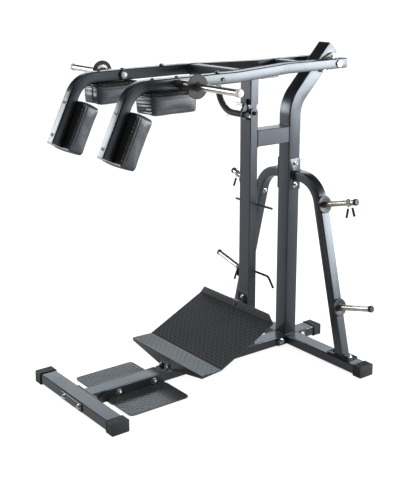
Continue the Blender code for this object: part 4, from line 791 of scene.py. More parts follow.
def makeLeverBolts():
    dark, bright = bmesh.new(), bmesh.new()
    for side in (-1, 1):
        x = side * lever["frontX"]
        half = lever["size"] / 2
        for up in bolts["legBolts"]:
            addButton(bright, legPoint(up, x, -half), -legBack, 0.0090)
        for reach in bolts["topBolts"]:
            addButton(dark, armPoint(reach, x, half), armUp, 0.0092)
        addHexBolt(dark, armPoint(bolts["stopReach"], x, half), armUp, 0.0110, 0.0130)
        outward = Vector((side, 0, 0))
        addHexBolt(dark, armPoint(bolts["stopSideReach"], x + side * half, -0.002), outward, 0.0080, 0.0100)
        addButton(dark, armPoint(bolts["underReach"], side * lever["rearX"], -half), -armUp, 0.0070)
    addPiece("leverBolts", dark, paints["blackPaint"], "lever", "black_steel")
    addPiece("leverLegBolts", bright, zinc, "lever", "zinc")


makeThroughBolts()
makeLooseBolts()
makeLeverBolts()
report("bolts made")

# pads
pad = {
    "halfWidth": 0.075, "corner": 0.018, "board": 0.009, "boardInset": 0.009, "boardCorner": 0.013, "spacer": 0.004,
    "gap": 0.0003, "voxel": 0.005, "start": 0.0024, "quickStart": 0.0015, "edge": 0.007, "pressure": 4.0, "frames": 20,
    "cap": 0.0032, "evening": 10, "seam": 0.0125, "seamDepth": 0.0016, "seamWidth": 0.0022, "rowGap": 0.0035,
    "stitch": 0.0042, "stitchGap": 0.0020, "threadRadius": 0.00050, "wrap": 0.0052, "puckers": 170, "crown": 0.0032,
    "lumps": 26, "lumpHeight": 0.0005, "creases": 85, "creaseHeight": 0.00015,
}
padKinds = {
    "shoulderPad": {"length": 0.235, "thickness": 0.084, "shift": 0.0, "along": 1.1295, "node": "shoulder_pad_"},
    "backPad": {"length": 0.239, "thickness": 0.081, "shift": -0.005, "along": 0.112, "node": "back_pad_"},
}


def padFrame(kind, side):
    x = side * lever["frontX"]
    half = lever["size"] / 2
    along = padKinds[kind]["along"]
    if kind == "shoulderPad":
        return facing(armPoint(along, x, -half), -armUp, armBack)
    return facing(legPoint(along, x, half), legBack, legUp)


def swollenPad(kind):
    # a slightly small foam block, remeshed, blown up as cloth and held within a few millimetres
    size = padKinds[kind]
    inset = pad["start"]
    bm = bmesh.new()
    faces = section(bm, size["length"] - 2 * inset, 2 * pad["halfWidth"] - 2 * inset, pad["corner"], 5)
    extrude(bm, faces, (0, 0, size["thickness"] - inset))
    top = [edge for edge in bm.edges if all(corner.co.z > 0.01 for corner in edge.verts)]
    low = [edge for edge in bm.edges if all(corner.co.z < 0.01 for corner in edge.verts)]
    bevel(bm, top, pad["edge"], 4)
    bevel(bm, low, pad["edge"] * 0.6, 4)
    block = linked(kind + "Block", meshFrom(bm, kind + "Block"))
    remesh = block.modifiers.new("remesh", "REMESH")
    remesh.mode = "VOXEL"
    remesh.voxel_size = pad["voxel"]
    bpy.context.view_layer.update()
    foam = evaluatedMesh(block)
    block.modifiers.clear()
    block.data = foam
    rest = [corner.co.copy() for corner in foam.vertices]
    pinned = block.vertex_groups.new(name="back")
    pinned.add([index for index, place in enumerate(rest) if place.z < pad["voxel"] * 1.2], 1.0, "REPLACE")
    cloth = block.modifiers.new("swell", "CLOTH")
    cloth.settings.vertex_group_mass = "back"
    cloth.settings.use_pressure = True
    cloth.settings.uniform_pressure_force = pad["pressure"]
    cloth.settings.effector_weights.gravity = 0
    cloth.settings.quality = 5
    cloth.point_cache.frame_start = 1
    cloth.point_cache.frame_end = pad["frames"]
    for step in range(1, pad["frames"] + 1):
        bpy.context.scene.frame_set(step)
    swollen = evaluatedMesh(block)
    block.modifiers.clear()
    moves = [corner.co - rest[index] for index, corner in enumerate(swollen.vertices)]
    near = [[] for _ in moves]
    for edge in swollen.edges:
        first, second = edge.vertices
        near[first].append(second)
        near[second].append(first)
    for _ in range(pad["evening"]):
        moves = [
            (move + sum((moves[other] for other in near[index]), Vector())) / (1 + len(near[index]))
            for index, move in enumerate(moves)
        ]
    for index, corner in enumerate(swollen.vertices):
        reach = max(moves[index].length, 1e-6)
        corner.co = rest[index] + moves[index] * (pad["cap"] * math.tanh(reach / pad["cap"]) / reach)
    block.data = swollen
    bpy.context.scene.frame_set(1)
    finer = block.modifiers.new("finer", "SUBSURF")
    finer.levels = finer.render_levels = 1
    bpy.context.view_layer.update()
    done = evaluatedMesh(block)
    bpy.data.objects.remove(block)
    return done


pleat = {
    "fadeFrom": 0.75, "fadeOver": 1.4, "wave": 0.0145, "skew": 2.2, "depth": 0.0021, "creaseY": 0.018,
    "creaseWidth": 0.0042, "creaseDepth": 0.0035, "wrinkle": 0.006, "wrinkleDepth": 0.0006,
}


def pleatMove(kind, side, place, normal):
    # gathered vinyl at the end of the shoulder pads that faces the legs
    if kind != "shoulderPad":
        return 0.0
    ending = max(0.0, -normal.x) ** 2
    across = place.y / pad["halfWidth"]
    if side > 0:
        fade = min(1.0, max(0.0, (across + pleat["fadeFrom"]) / pleat["fadeOver"]))
        wave = math.sin(2 * math.pi * (place.z / pleat["wave"]) + pleat["skew"] * across)
        return ending * fade * pleat["depth"] * wave
    crease = math.exp(-(((place.y - pleat["creaseY"]) / pleat["creaseWidth"]) ** 2))
    return ending * (-pleat["creaseDepth"] * crease + pleat["wrinkleDepth"] * math.sin(place.z / pleat["wrinkle"]))


def dressPad(kind, side, foam):
    size = padKinds[kind]
    bm = bmesh.new()
    bm.from_mesh(foam)
    bm.normal_update()
    for corner in bm.verts:
        away = corner.normal.copy()
        if abs(away.z) < 0.8:
            groove = math.exp(-(((corner.co.z - pad["seam"]) / pad["seamWidth"]) ** 2))
            corner.co -= pad["seamDepth"] * groove * away
        lump = noise.noise(corner.co * pad["lumps"] + Vector((side * 7, len(kind), 0)))
        fine = noise.noise(corner.co * pad["creases"] + Vector((0, side * 5, len(kind))))
        move = pad["lumpHeight"] * lump + pad["creaseHeight"] * fine + pleatMove(kind, side, corner.co, away)
        if corner.co.z > 0.004:
            along, across = 2 * corner.co.x / size["length"], corner.co.y / pad["halfWidth"]
            crown = max(0.0, 1 - along * along) * max(0.0, 1 - across * across) * corner.co.z / size["thickness"]
            corner.co += move * away
            corner.co.z += pad["crown"] * crown
    bm.normal_update()
    return bm


def seamPoints(tree, size, height, count):
    # where rays towards the pad's middle line meet its sides, at one height
    found = []
    length, width = size["length"] / 2 - pad["corner"], pad["halfWidth"] - pad["corner"]
    for step in range(count):
        turn = 2 * math.pi * step / count
        aim = Vector((math.cos(turn), math.sin(turn), 0))
        reach = 1 / max(abs(aim.x) / (length + pad["corner"]), abs(aim.y) / (width + pad["corner"]))
        edge = aim * reach
        inside = Vector((max(-length, min(length, edge.x)), max(-width, min(width, edge.y)), height))
        outward = (Vector((edge.x, edge.y, height)) - inside).normalized()
        hit = tree.ray_cast(inside + outward * 0.06, -outward)
        if hit[0] is not None:
            found.append((hit[0], hit[1]))
    return found


threadUnit = unitBall("threadUnit", 6, 4)


def addStitches(bm, tree, size, height):
    # short threads lying along a closed row
    row = seamPoints(tree, size, height, 900)
    pitch = pad["stitch"] + pad["stitchGap"]
    places = []
    travelled, start = 0.0, None
    for index in range(1, len(row)):
        step = (row[index][0] - row[index - 1][0]).length
        travelled += step
        if start is None and travelled >= pad["stitchGap"]:
            start = row[index]
        if travelled >= pitch and start:
            first, normal = start
            last = row[index][0]
            middle = (first + last) / 2 + normal * pad["threadRadius"] * 0.3
            place = facing(middle, last - first, normal)
            half = (last - first).length / 2
            places.append(place @ Matrix.Diagonal((pad["threadRadius"], pad["threadRadius"], half, 1)))
            travelled, start = 0.0, None
    stamp(bm, threadUnit, places)


def rimPath(width, depth, corner, count):
    # evenly spaced points round a rectangle with rounded corners
    turns = []
    for quarter, (across, along) in enumerate(((1, 1), (-1, 1), (-1, -1), (1, -1))):
        centre = Vector((across * (width / 2 - corner), along * (depth / 2 - corner), 0))
        for step in range(7):
            angle = math.pi / 2 * (quarter + step / 6)
            turns.append(centre + corner * Vector((math.cos(angle), math.sin(angle), 0)))
    turns.append(turns[0])
    whole = sum((after - before).length for before, after in zip(turns, turns[1:]))
    points, travelled, target = [], 0.0, 0.0
    for before, after in zip(turns, turns[1:]):
        length = (after - before).length
        while target <= travelled + length and len(points) < count:
            points.append(before.lerp(after, (target - travelled) / length if length else 0))
            target += whole / count
        travelled += length
    return points


def makePads():
    for kind, size in padKinds.items():
        foam = swollenPad(kind)
        boardSize = (size["length"] - 2 * pad["boardInset"], 2 * (pad["halfWidth"] - pad["boardInset"]))
        for word, node, side in sides:
            seat = padFrame(kind, side)
            bm = dressPad(kind, side, foam)
            tree = BVHTree.FromBMesh(bm)
            place = seat @ Matrix.Translation((size["shift"], 0, pad["gap"] * 2 + pad["spacer"] + pad["board"]))
            stitches = bmesh.new()
            for height in (pad["seam"] - pad["rowGap"], pad["seam"] + pad["rowGap"]):
                addStitches(stitches, tree, size, height)
            addPiece(
                kind + word, bm, vinyl, "lever", "vinyl", place, 80, replaced=[size["node"] + node], recalc=False
            )
            addPiece(kind + "Stitches" + word, stitches, thread, "lever", "vinyl", place, 180)
            board = slab(*boardSize, pad["board"], pad["boardCorner"], 0.0012, 5)
            lift = Matrix.Translation((size["shift"], 0, pad["gap"] + pad["spacer"]))
            bmesh.ops.transform(board, matrix=lift, verts=board.verts)
            for step in (-0.078, 0.078):
                spacer = [(0, 0.0002), (0.014, 0.0002), (0.014, pad["spacer"] + 0.001), (0, pad["spacer"] + 0.001)]
                turned(spacer, 24, board, Matrix.Translation((step, 0, 0)))
            rim = rimPath(*boardSize, pad["boardCorner"], pad["puckers"])
            radii = [0.86 + 0.34 * noise.noise(Vector((0.45 * step, side, len(kind)))) for step in range(len(rim))]
            mesh = wireMesh(kind + "Wrap" + word, rim, pad["wrap"], radii, closed=True)
            middle = (size["shift"], 0, pad["gap"] + pad["spacer"] + pad["board"] * 0.5)
            mesh.transform(seat @ Matrix.Translation(middle))
            addMesh(kind + "Wrap" + word, mesh, wrapVinyl, "lever", "vinyl", 60)
            addPiece(
                kind + "Board" + word, board, backingBoard, "lever", "board", seat,
                replaced=[size["node"] + "board_" + node],
            )


makePads()
report("pads swollen and stitched")

# rubber end caps of the base
cap = {
    "rib": 0.0013, "ribWidth": 0.0054, "pitch": 0.0080, "lip": 0.0045, "end": 0.0065, "corner": 0.0055, "round": 0.0018,
}


def makeRibbedCap(name, node, outward):
    low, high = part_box(node)
    size = high - low
    tall, long = size.z, abs(size.dot(outward))
    wide = size.y if abs(outward.x) > 0.5 else size.x
    rib = cap["rib"]
    bm = bmesh.new()
    core = section(bm, tall - 2 * rib, wide - 2 * rib, cap["corner"] - rib)
    extrude(bm, core, (0, 0, long - 0.002))
    for start, deep in ((0.0, cap["lip"]), (long - cap["end"], cap["end"])):
        ring = slab(tall, wide, deep, cap["corner"], cap["round"] if start else 0.0006)
        bmesh.ops.translate(ring, vec=(0, 0, start), verts=ring.verts)
        appendMesh(bm, meshFrom(ring, "ring"))
    run = long - cap["lip"] - cap["end"]
    middle = cap["lip"] + run / 2 + 0.0006
    for across, up, alongFace in ((wide, tall, True), (tall, wide, False)):
        count = int((across - 2 * cap["corner"]) / cap["pitch"])
        scale = (2 * rib, cap["ribWidth"]) if alongFace else (cap["ribWidth"], 2 * rib)
        for side in (-1, 1):
            height = side * (up / 2 - rib)
            for index in range(count + 1):
                offset = (index - count / 2) * cap["pitch"]
                where = (height, offset, middle) if alongFace else (offset, height, middle)
                place = Matrix.Translation(where) @ Matrix.Diagonal((*scale, run - 0.0012, 1))
                made = bmesh.ops.create_cube(bm, size=1, matrix=place)["verts"]
                bevel(bm, list({edge for corner in made for edge in corner.link_edges}), 0.0007, 1)
    foot = middleOf(node) - long / 2 * outward
    addPiece(name, bm, rubber, "frame", "rubber", facing(foot, outward, zAxis), 30, replaced=[node])


for word, node, side in sides:
    outward = Vector((side, 0, 0))
    makeRibbedCap("frontFootCap" + word, "front_foot_cap_" + node, outward)
    makeRibbedCap("rearLegCap" + word, "rear_leg_cap_" + node, outward)
makeRibbedCap("baseBeamCap", "base_beam_cap", yAxis)
report("ribbed caps made")

# raised tread on the plates
tread = {
    "pitch": 0.0170, "length": 0.0078, "width": 0.0029, "height": 0.0019, "margin": 0.008, "turn": math.radians(40),
    "half": 0.293, "lip": 0.042, "lipHalf": 0.264, "bendFromLip": 0.322,
}
lugUnit = unitBall("lugUnit", 8, 4)


def addLugs(bm, place, width, depth):
    # place has its origin at one corner, X across and Y along, Z out of the sheet
    columns = int((width - 2 * tread["margin"]) / tread["pitch"]) + 1
    rows = int((depth - 2 * tread["margin"]) / tread["pitch"]) + 1
    left = (width - (columns - 1) * tread["pitch"]) / 2
    front = (depth - (rows - 1) * tread["pitch"]) / 2
    scale = Matrix.Diagonal((tread["length"], tread["width"], tread["height"], 1))
    places = []
    for column in range(columns):
        for row in range(rows):
            turn = tread["turn"] if (column + row) % 2 else -tread["turn"]
            spin = Matrix.Rotation(turn + math.pi / 2, 4, "Z")
            where = Matrix.Translation((left + column * tread["pitch"], front + row * tread["pitch"], 0))
            places.append(place @ where @ spin @ scale)
    stamp(bm, lugUnit, places)


def topFinder(node):
    mesh = nodes[node].data
    tree = BVHTree.FromPolygons(
        [corner.co.copy() for corner in mesh.vertices], [tuple(face.vertices) for face in mesh.polygons]
    )

    def topOf(x, y):
        return tree.ray_cast(Vector((x, y, 1.0)), Vector((0, 0, -1)))[0]

    return topOf


def makeTread():
    low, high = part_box("footplate")
    topOf = topFinder("footplate")
    half = tread["half"]
    lipFace = high.y - bolts["sheet"]
    bend = lipFace + bolts["sheet"] / 2 - tread["bendFromLip"]
    bm = bmesh.new()
    for first, last in ((low.y, bend), (bend, lipFace)):
        inset = (last - first) * 0.1
        start, end = topOf(0.1, first + inset), topOf(0.1, last - inset)
        along = (end - start).normalized()
        origin = start - along * inset / along.y
        frameOf = Matrix((xAxis, along, xAxis.cross(along))).transposed().to_4x4()
        place = Matrix.Translation((-half, origin.y, origin.z)) @ frameOf
        addLugs(bm, place, 2 * half, (last - first) / along.y)
    upright = Matrix((xAxis, zAxis, -yAxis)).transposed().to_4x4()
    place = Matrix.Translation((-tread["lipHalf"], lipFace, high.z - tread["lip"])) @ upright
    addLugs(bm, place, 2 * tread["lipHalf"], tread["lip"])
    # these lugs take the lighter copy of the tread paint, a painted highlight
    addPiece("footplateTread", bm, paints["lugPaint"], "frame", "checker_steel", recalc=False)
    for word, node, _ in sides:
        low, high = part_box("floor_plate_" + node)
        bm = bmesh.new()
        addLugs(bm, Matrix.Translation((low.x, low.y, high.z)), high.x - low.x, high.y - low.y)
        addPiece("floorPlateTread" + word, bm, paints["treadPaint"], "frame", "checker_steel", recalc=False)


makeTread()
report("tread raised")

# weight horns
horn = {
    "reach": 1.083, "radius": 0.015, "tipX": 0.663, "tip": 0.018, "tipRadius": 0.0172, "discX": 0.378, "disc": 0.006,
    "discRadius": 0.0525, "sleeveRadius": 0.018, "collarRadius": 0.021, "collar": 0.010, "flange": 0.034,
}


def makeHorn(word, node, side):
    inner = lever["frontX"] - lever["size"] / 2 - 0.0003
    outer = lever["frontX"] + lever["size"] / 2 + 0.0003
    place = facing(armPoint(horn["reach"]), Vector((side, 0, 0)), armBack)
    radius, wide, sleeve, flange = horn["radius"], horn["tipRadius"], horn["sleeveRadius"], horn["flange"]
    tip, end, back, start = horn["tipX"] - horn["tip"], horn["tipX"], inner - horn["collar"], horn["discX"]
    ending = [
        (0, tip - 0.0010), (radius - 0.0014, tip), (wide - 0.0012, tip), (wide, tip + 0.0012), (wide, end - 0.0030),
        (wide - 0.0005, end - 0.0012), (wide - 0.0016, end - 0.0003), (wide - 0.0030, end), (0, end + 0.0003),
    ]
    button = [
        (0, back - 0.0024), (radius - 0.0022, back - 0.0022), (radius - 0.0012, back - 0.0012), (0, back - 0.0009),
    ]
    rod = [
        (0, back - 0.0010), (radius - 0.0012, back - 0.0010), (radius, back + 0.0002), (radius, outer), (sleeve, outer),
        (sleeve, start - 0.0032), (flange - 0.0008, start - 0.0026), (flange, start - 0.0018),
        (flange, start + 0.0005), (radius, start + 0.0005), (radius, tip - 0.002), (radius - 0.0012, tip - 0.0016),
        (radius - 0.0012, tip + 0.002), (0, tip + 0.002),
    ]
    collar = horn["collarRadius"]
    ring = [(radius, back), (collar - 0.0015, back), (collar, back + 0.0015), (collar, inner), (radius, inner)]
    finish, edge = start + horn["disc"], horn["discRadius"]
    disc = [
        (radius, start - 0.006), (radius + 0.005, start - 0.0045), (radius + 0.0075, start), (edge - 0.0010, start),
        (edge, start + 0.0010), (edge, finish - 0.0010), (edge - 0.0010, finish), (radius + 0.0065, finish),
        (radius + 0.0045, finish + 0.0030), (radius, finish + 0.0045),
    ]
    for ends, profile, steps, look, slot, angle, replaced in (
        ("Tip", ending, 48, satinNickel, "chrome", 50, ()),
        ("End", button, 40, satinNickel, "chrome", 50, ()),
        ("Rod", rod, 56, chrome, "chrome", 32, ["weight_horn_" + node]),
        ("Collar", ring, 48, paints["blackPaint"], "black_steel", 32, ()),
        ("Disc", disc, 72, plastic, "black_steel", 32, ()),
    ):
        addPiece("weightHorn" + ends + word, turned(profile, steps), look, "lever", slot, place, angle, replaced)


for word, node, side in sides:
    makeHorn(word, node, side)

# storage pegs
peg = {
    "radius": 0.0145, "length": 0.228, "discRadius": 0.0445, "disc": 0.009, "capRadius": 0.0168, "cap": 0.016,
    "stub": 0.040,
}


def pegFrame(side, z):
    direction = storageOut(side)
    where = Vector((side * storageX(z), storageY, z)) + (storage["width"] / 2 + 0.0003) * direction
    return facing(where, direction, yAxis)


def makePeg(word, node, side, level, z):
    radius, edge, thick, end, wide = peg["radius"], peg["discRadius"], peg["disc"], peg["length"], peg["capRadius"]
    capStart = end - peg["cap"]
    rod = [(0, -peg["stub"]), (radius, -peg["stub"]), (radius, capStart), (0, capStart)]
    disc = [
        (radius, 0.0001), (edge - 0.001, 0.0001), (edge, 0.0011), (edge, thick - 0.0014), (edge - 0.0014, thick),
        (radius + 0.009, thick), (radius + 0.0075, thick - 0.0008), (radius + 0.0045, thick - 0.0006),
        (radius + 0.0030, thick + 0.0026), (radius, thick + 0.0030),
    ]
    cover = [
        (radius, capStart), (wide - 0.0006, capStart), (wide, capStart + 0.0006), (wide, end - 0.0040),
        (wide - 0.0010, end - 0.0016), (wide - 0.0032, end), (0.0060, end), (0.0052, end - 0.0008), (0, end - 0.0008),
    ]
    pegNode = "storage_peg_" + node + "_" + level.lower()
    for ends, profile, steps, look, slot, replaced in (
        ("Rod", rod, 48, chrome, "chrome", [pegNode]), ("Disc", disc, 64, plastic, "frame_steel", ()),
        ("Cap", cover, 44, plastic, "rubber", ()),
    ):
        name = "storagePeg" + word + level + ends
        addPiece(name, turned(profile, steps), look, "frame", slot, pegFrame(side, z), 32, replaced)


for word, node, side in sides:
    for level, z in storage["pegHeights"]:
        makePeg(word, node, side, level, z)
report("horns and pegs turned")

# spring collars
collars = (("Right", 1, "Upper", 0.155), ("Left", -1, "Upper", 0.155), ("Left", -1, "Lower", 0.012))
collar = {
    "wire": 0.0021, "clearance": 0.0005, "turns": 4.14, "pitch": 0.0062, "points": 28, "tail": 0.0125, "grip": 0.046,
    "gripRadius": 0.0064, "splay": math.radians(17), "ribs": 9, "gather": 0.0082, "hang": -0.16,
}


def makeCollar(word, side, level, start):
    where = pegFrame(side, dict(storage["pegHeights"])[level])
    place = facing(where.translation, storageOut(side), zAxis) @ Matrix.Translation((0, 0, peg["disc"] + start))
    radius = peg["radius"] + collar["clearance"] + collar["wire"]
    # local -X hangs down; the coil starts and ends near there, and its ends cross as they leave
    turns = collar["turns"]
    count = int(turns * collar["points"])
    first = math.pi - (turns - 4) * math.pi
    coil = []
    for step in range(count + 1):
        turn = first + 2 * math.pi * turns * step / count
        height = 0.001 + collar["pitch"] * turns * step / count
        coil.append(Vector((radius * math.cos(turn), radius * math.sin(turn), height)))
    name = "springCollar" + word + level
    body = "collar_" + word.lower() + "_" + level.lower()
    tails, grips = [], bmesh.new()
    for end, lean in ((coil[0], 1), (coil[-1], -1)):
        aim = Vector((-math.cos(collar["splay"]), lean * math.sin(collar["splay"]), collar["hang"])).normalized()
        knee = end + Vector((-0.004, 0, lean * collar["gather"]))
        tails.append([knee, knee + collar["tail"] * 0.4 * aim, knee + collar["tail"] * aim])
        base = knee + collar["tail"] * 0.75 * aim
        long, fat = collar["grip"], collar["gripRadius"]
        profile = [(0, 0), (fat * 0.75, 0), (fat, 0.0012)]
        for index in range(collar["ribs"]):
            at = 0.004 + (long - 0.010) * index / collar["ribs"]
            profile += [(fat, at), (fat * 0.86, at + 0.0009), (fat * 0.86, at + 0.0018), (fat, at + 0.0027)]
        profile += [(fat, long - 0.0040), (fat * 0.9, long - 0.0016), (fat * 0.55, long - 0.0003), (0, long)]
        turned(profile, 18, grips, facing(base, aim, yAxis))
    mesh = wireMesh(name, [*reversed(tails[0]), *coil, *tails[1]], collar["wire"])
    mesh.transform(place)
    addMesh(name, mesh, chrome, body, "chrome", 60, replaced=["spring_" + body])
    addPiece(name + "Grips", grips, gripRubber, body, "rubber", place, 35)


for word, side, level, start in collars:
    makeCollar(word, side, level, start)
report("spring collars wound")

# prop handle
prop = {
    "bolt": Vector((0, 0.247536, 1.266741)), "forward": 0.0445, "below": 0.005, "rightX": 0.040, "bendX": -0.070,
    "bendRadius": 0.118, "endZ": 0.118, "radius": 0.0155, "steps": 30,
    "boss": (0.0234, 0.032), "bossLow": -0.012, "web": (0.021, 0.025), "webX": -0.0195, "webLow": 0.018,
    "blockDepth": 0.024,
}


def makePropGrip():
    bolt = prop["bolt"]
    centre = bolt + Vector((0, -prop["forward"], -prop["below"]))
    start = centre + Vector((prop["rightX"], 0, 0))
    corner = centre + Vector((prop["bendX"], 0, 0))
    arc = arcPoints(corner, -xAxis, zAxis, prop["bendRadius"], math.pi / 2, prop["steps"])
    end = Vector((arc[-1].x, arc[-1].y, bolt.z + prop["endZ"]))
    path = [start, start + Vector((-0.0015, 0, 0)), start + Vector((-0.004, 0, 0)), corner, *arc]
    radii = [0.78, 0.93, 1.0, 1.0] + [1.0] * len(arc)
    for back, share in ((0.0040, 1.0), (0.0016, 0.95), (0.0, 0.78)):
        path.append(end - Vector((0, 0, back)))
        radii.append(share)
    mesh = wireMesh("propGripTube", path, prop["radius"], radii, 8)
    addMesh("propGripTube", mesh, gripRubber, "prop", "rubber", 50, replaced=["prop_grip"])
    # boss between the links, and the web beside the strut
    for name, (width, tall), x, low in (
        ("propBoss", prop["boss"], 0.0, prop["bossLow"]), ("propWeb", prop["web"], prop["webX"], prop["webLow"]),
    ):
        bm = slab(width, prop["blockDepth"], tall, 0.003, 0.0008, 3)
        addPiece(name, bm, paints["blackPaint"], "prop", "black_steel", Matrix.Translation(bolt + Vector((x, 0, low))))


def makePropWires():
    # bail between the handle and its link, and the hook below
    y = -prop["forward"]
    bail = [
        (-0.146, y, 0.050), (-0.120, y, 0.0515), (-0.050, y, 0.049), (-0.022, y + 0.004, 0.047),
        (-0.004, y + 0.012, 0.046),
    ]
    lower = [(-0.132, y, 0.028), (-0.099, y, 0.036), (-0.044, y, 0.039), (-0.004, y + 0.012, 0.036)]
    turns = [math.pi * step / 10 for step in range(11)]
    hook = [(-0.118, y, -0.010), (-0.118, y, -0.018)]
    hook += [(-0.111 - 0.007 * math.cos(turn), y, -0.020 - 0.008 * math.sin(turn)) for turn in turns]
    for name, points, radius in (
        ("propBail", bail, 0.0017), ("propBailLower", lower, 0.0013), ("propHook", hook, 0.0014),
    ):
        mesh = wireMesh(name, [prop["bolt"] + Vector(point) for point in points], radius, resolution=2)
        addMesh(name, mesh, zinc, "prop", "zinc", 60)


makePropGrip()
makePropWires()

# tube ends
plug = {
    "bead": 0.0021, "capRim": (0.0506, 0.0506, 0.005), "boardRim": (0.1330, 0.0120, 0.004), "boardBack": 0.0340,
    "rimLevel": -0.0040, "arm": (0.049, 0.049), "leg": (0.0505, 0.0505),
}


def makePlug(name, where, heading, size, proud, body, replaced=()):
    bm = slab(*size, proud, 0.005, 0.0, 5)
    top = [edge for edge in bm.edges if all(corner.co.z > proud / 2 for corner in edge.verts)]
    bevel(bm, top, min(proud * 0.8, 0.0034), 5)
    addPiece(name, bm, plastic, body, "rubber", facing(where, heading), 50, replaced)


mastOpening = (mast["width"] - 0.0010, mast["depth"] - 0.0010)
makePlug("mastEndPlug", mastEnd - 0.0002 * mastAlong, mastAlong, mastOpening, 0.0030, "frame")
for word, node, side in sides:
    rear, front = side * lever["rearX"], side * lever["frontX"]
    makePlug("armEndPlug" + word, armPoint(-lever["behindPivot"], rear), armBack, plug["arm"], 0.0026, "lever")
    makePlug("legCap" + word, legPoint(0.0, front), -legUp, plug["leg"], 0.0062, "lever", ["lever_leg_cap_" + node])
    # pale rim round the cap and round the end of the pad's board, light grey as a painted highlight on the black rims
    rims = bmesh.new()
    for rimSize, back in ((plug["capRim"], 0.0), (plug["boardRim"], plug["boardBack"])):
        loop = wireMesh("rim", rimPath(*rimSize, 90), plug["bead"], closed=True)
        loop.transform(facing(legPoint(plug["rimLevel"], front, back), -legUp))
        appendMesh(rims, loop)
    addMesh("legRim" + word, meshFrom(rims, "rims"), paleTrim, "lever", "rubber", 60)
report("handle and tube ends made")

# bolts of the bearings
def makeBearingBolts():
    for word, node, side in sides:
        middle = middleOf("bearing_" + node)
        bm = bmesh.new()
        for reach in (-bolts["bearingReach"], bolts["bearingReach"]):
            where = Vector((side * bolts["bearingFace"], middle.y, middle.z)) + reach * mastAlong
            addHexBolt(bm, where, Vector((side, 0, 0)), 0.0085, 0.0108)
        addPiece("bearingBolts" + word, bm, zinc, "frame", "zinc")


makeBearingBolts()

# weld seams round the joints
weld = {"radius": 0.0030, "pitch": 0.0042, "points": 3, "ripple": 0.16, "rearReach": 0.237, "frontReach": 0.688}


def addWeldRing(bm, place, width, depth):
    # a bead round a rectangular tube where it meets a face, in the XY plane of place
    corners = [(-width / 2, -depth / 2), (width / 2, -depth / 2), (width / 2, depth / 2), (-width / 2, depth / 2)]
    path, radii = [], []
    travelled = 0.0
    for (x0, y0), (x1, y1) in zip(corners, corners[1:] + corners[:1]):
        span = math.hypot(x1 - x0, y1 - y0)
        steps = max(2, int(span / weld["pitch"] * weld["points"]))
        for step in range(steps):
            share = step / steps
            path.append(place @ Vector((x0 + (x1 - x0) * share, y0 + (y1 - y0) * share, 0)))
            travelled += span / steps
            radii.append(1 + weld["ripple"] * math.sin(2 * math.pi * travelled / weld["pitch"]))
    appendMesh(bm, wireMesh("bead", path, weld["radius"], radii, 1, closed=True))


def makeWelds():
    bm = bmesh.new()
    low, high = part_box("upright_tie")
    middle = (low + high) / 2
    for y in (low.y, high.y):
        addWeldRing(bm, Matrix.Translation((0, y, middle.z)) @ Matrix.Rotation(math.pi / 2, 4, "X"),
                    high.x - low.x, high.z - low.z)
    for node in ("front_upright", "rear_upright"):
        low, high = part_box(node)
        deep = high.y - low.y if node == "front_upright" else mast["depth"]
        where = Vector((0, low.y + deep / 2, low.z + 0.0005))
        addWeldRing(bm, Matrix.Translation(where), 0.080, deep)
    long = storage["width"] / math.cos(storage["lean"])
    for side in (-1, 1):
        addWeldRing(bm, Matrix.Translation((side * storageX(plateTop), storageY, plateTop)), long, storage["depth"])
        x = side * (innerX + storage["plate"])
        turnedUp = facing(Vector((x, storageY, storage["height"])), Vector((side, 0, 0)), yAxis)
        addWeldRing(bm, turnedUp, storage["depth"], storage["width"])
    addPiece("frameWelds", bm, paints["anthracitePaint"], "frame", "frame_steel", smoothAngle=80)
    bm = bmesh.new()
    share = (weld["frontReach"] - lever["kinkRear"]) / (lever["kinkFront"] - lever["kinkRear"])
    wideX = lever["rearX"] + share * (lever["frontX"] - lever["rearX"]) - lever["size"] / 2 - 0.001
    for side in (-1, 1):
        outward = Vector((side, 0, 0))
        for reach, x in ((weld["rearReach"], lever["rearX"] - lever["size"] / 2), (weld["frontReach"], wideX)):
            addWeldRing(bm, facing(armPoint(reach, side * x), outward, armBack), 0.050, 0.050)
    addPiece("leverWelds", bm, paints["anthracitePaint"], "lever", "frame_steel", smoothAngle=80)


makeWelds()
report("bearing bolts and welds made")

# floor, light and white surround
studio = {
    "floorColour": (0.46, 0.46, 0.46), "floorGlow": 0.82, "floorShine": 0.38, "worldStrength": 0.48,
    "lamps": [
        {
            "name": "topSoftbox", "place": (0.8, -1.2, 4.4), "aim": (0, 0, 0.8), "size": (2.4, 2.4), "power": 40.0,
            "tint": (1.0, 1.0, 1.0),
        },
        {
            "name": "leftSoftbox", "place": (-3.9, -3.05, 1.90), "aim": (0, -0.4, 1.1), "size": (2.3, 1.7),
            "power": 130.0, "tint": (0.94, 0.97, 1.0),
        },
        {
            "name": "rearSoftbox", "place": (3.1, 4.1, 1.62), "aim": (0, 0.4, 1.6), "size": (3.6, 1.9),
            "power": 335.0, "tint": (0.93, 0.97, 1.0),
        },
        {
            "name": "leftHighSoftbox", "place": (-5.2, 3.7, 3.2), "aim": (0, 0, 0.4), "size": (5.0, 1.5),
            "power": 92.0, "tint": (0.86, 0.94, 1.0),
        },
    ],
    "room": {"size": (15.0, 15.0, 6.4), "shade": 0.05, "sunk": 0.5}, "floorSize": 60, "floorLevel": -0.0004,
}


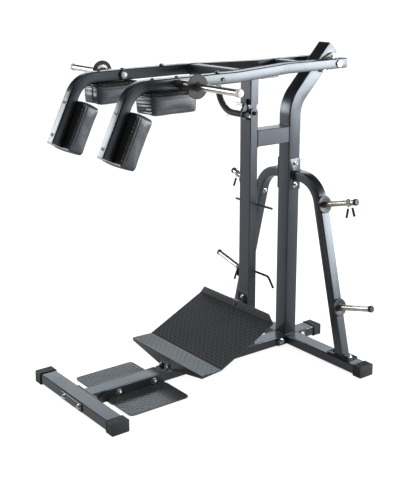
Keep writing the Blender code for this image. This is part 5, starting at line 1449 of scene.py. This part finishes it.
def makeStudio():
    bpy.context.scene.view_settings.view_transform = "Standard"
    bm = bmesh.new()
    bmesh.ops.create_grid(bm, x_segments=1, y_segments=1, size=studio["floorSize"])
    floor = linked("studioFloor", meshFrom(bm, "studioFloor"))
    floor.location.z = studio["floorLevel"]
    material, tree, shader = newMaterial("studioFloor", 0.0, 0.1)
    path = addNode(tree, "ShaderNodeLightPath").outputs
    seen = plus(path["Is Camera Ray"], times(path["Is Glossy Ray"], studio["floorShine"]), True)
    setNode(
        shader, BaseColor=studio["floorColour"], Roughness=0.8, EmissionColor=(1, 1, 1),
        EmissionStrength=times(seen, studio["floorGlow"]),
    )
    floor.data.materials.append(material)
    world = bpy.data.worlds.new("whiteSurround")
    bpy.context.scene.world = world
    world.use_nodes = True
    path = addNode(world.node_tree, "ShaderNodeLightPath").outputs
    seen = plus(plus(path["Is Camera Ray"], path["Is Glossy Ray"], True), path["Is Transmission Ray"], True)
    strength = rangeNode(seen, 0.0, 1.0, studio["worldStrength"], 1.0)
    setNode(world.node_tree.nodes["Background"], Color=(1, 1, 1), Strength=strength)
    for lamp in studio["lamps"]:
        light = bpy.data.lights.new(lamp["name"], "AREA")
        light.shape = "RECTANGLE"
        light.size, light.size_y = lamp["size"]
        light.energy = lamp["power"]
        light.color = lamp["tint"]
        aimed(lamp["name"], light, lamp["place"], Vector(lamp["aim"]) - Vector(lamp["place"]))


def makeRoom():
    # grey walls and ceiling that only the shiny pieces show
    room = studio["room"]
    bm = bmesh.new()
    made = bmesh.ops.create_cube(bm, size=1)["verts"]
    bmesh.ops.scale(bm, vec=room["size"], verts=made)
    bmesh.ops.translate(bm, vec=(0, 0, room["size"][2] / 2 - room["sunk"]), verts=made)
    bmesh.ops.delete(bm, geom=[face for face in bm.faces if face.normal.z < -0.5], context="FACES_ONLY")
    walls = linked("studioRoom", meshFrom(bm, "studioRoom"))
    walls.visible_camera = walls.visible_diffuse = walls.visible_shadow = False
    material, _, shader = newMaterial("studioRoom", 0.0, 0.0)
    setNode(shader, BaseColor=[room["shade"]] * 3, Roughness=1.0)
    walls.data.materials.append(material)


makeStudio()
makeRoom()
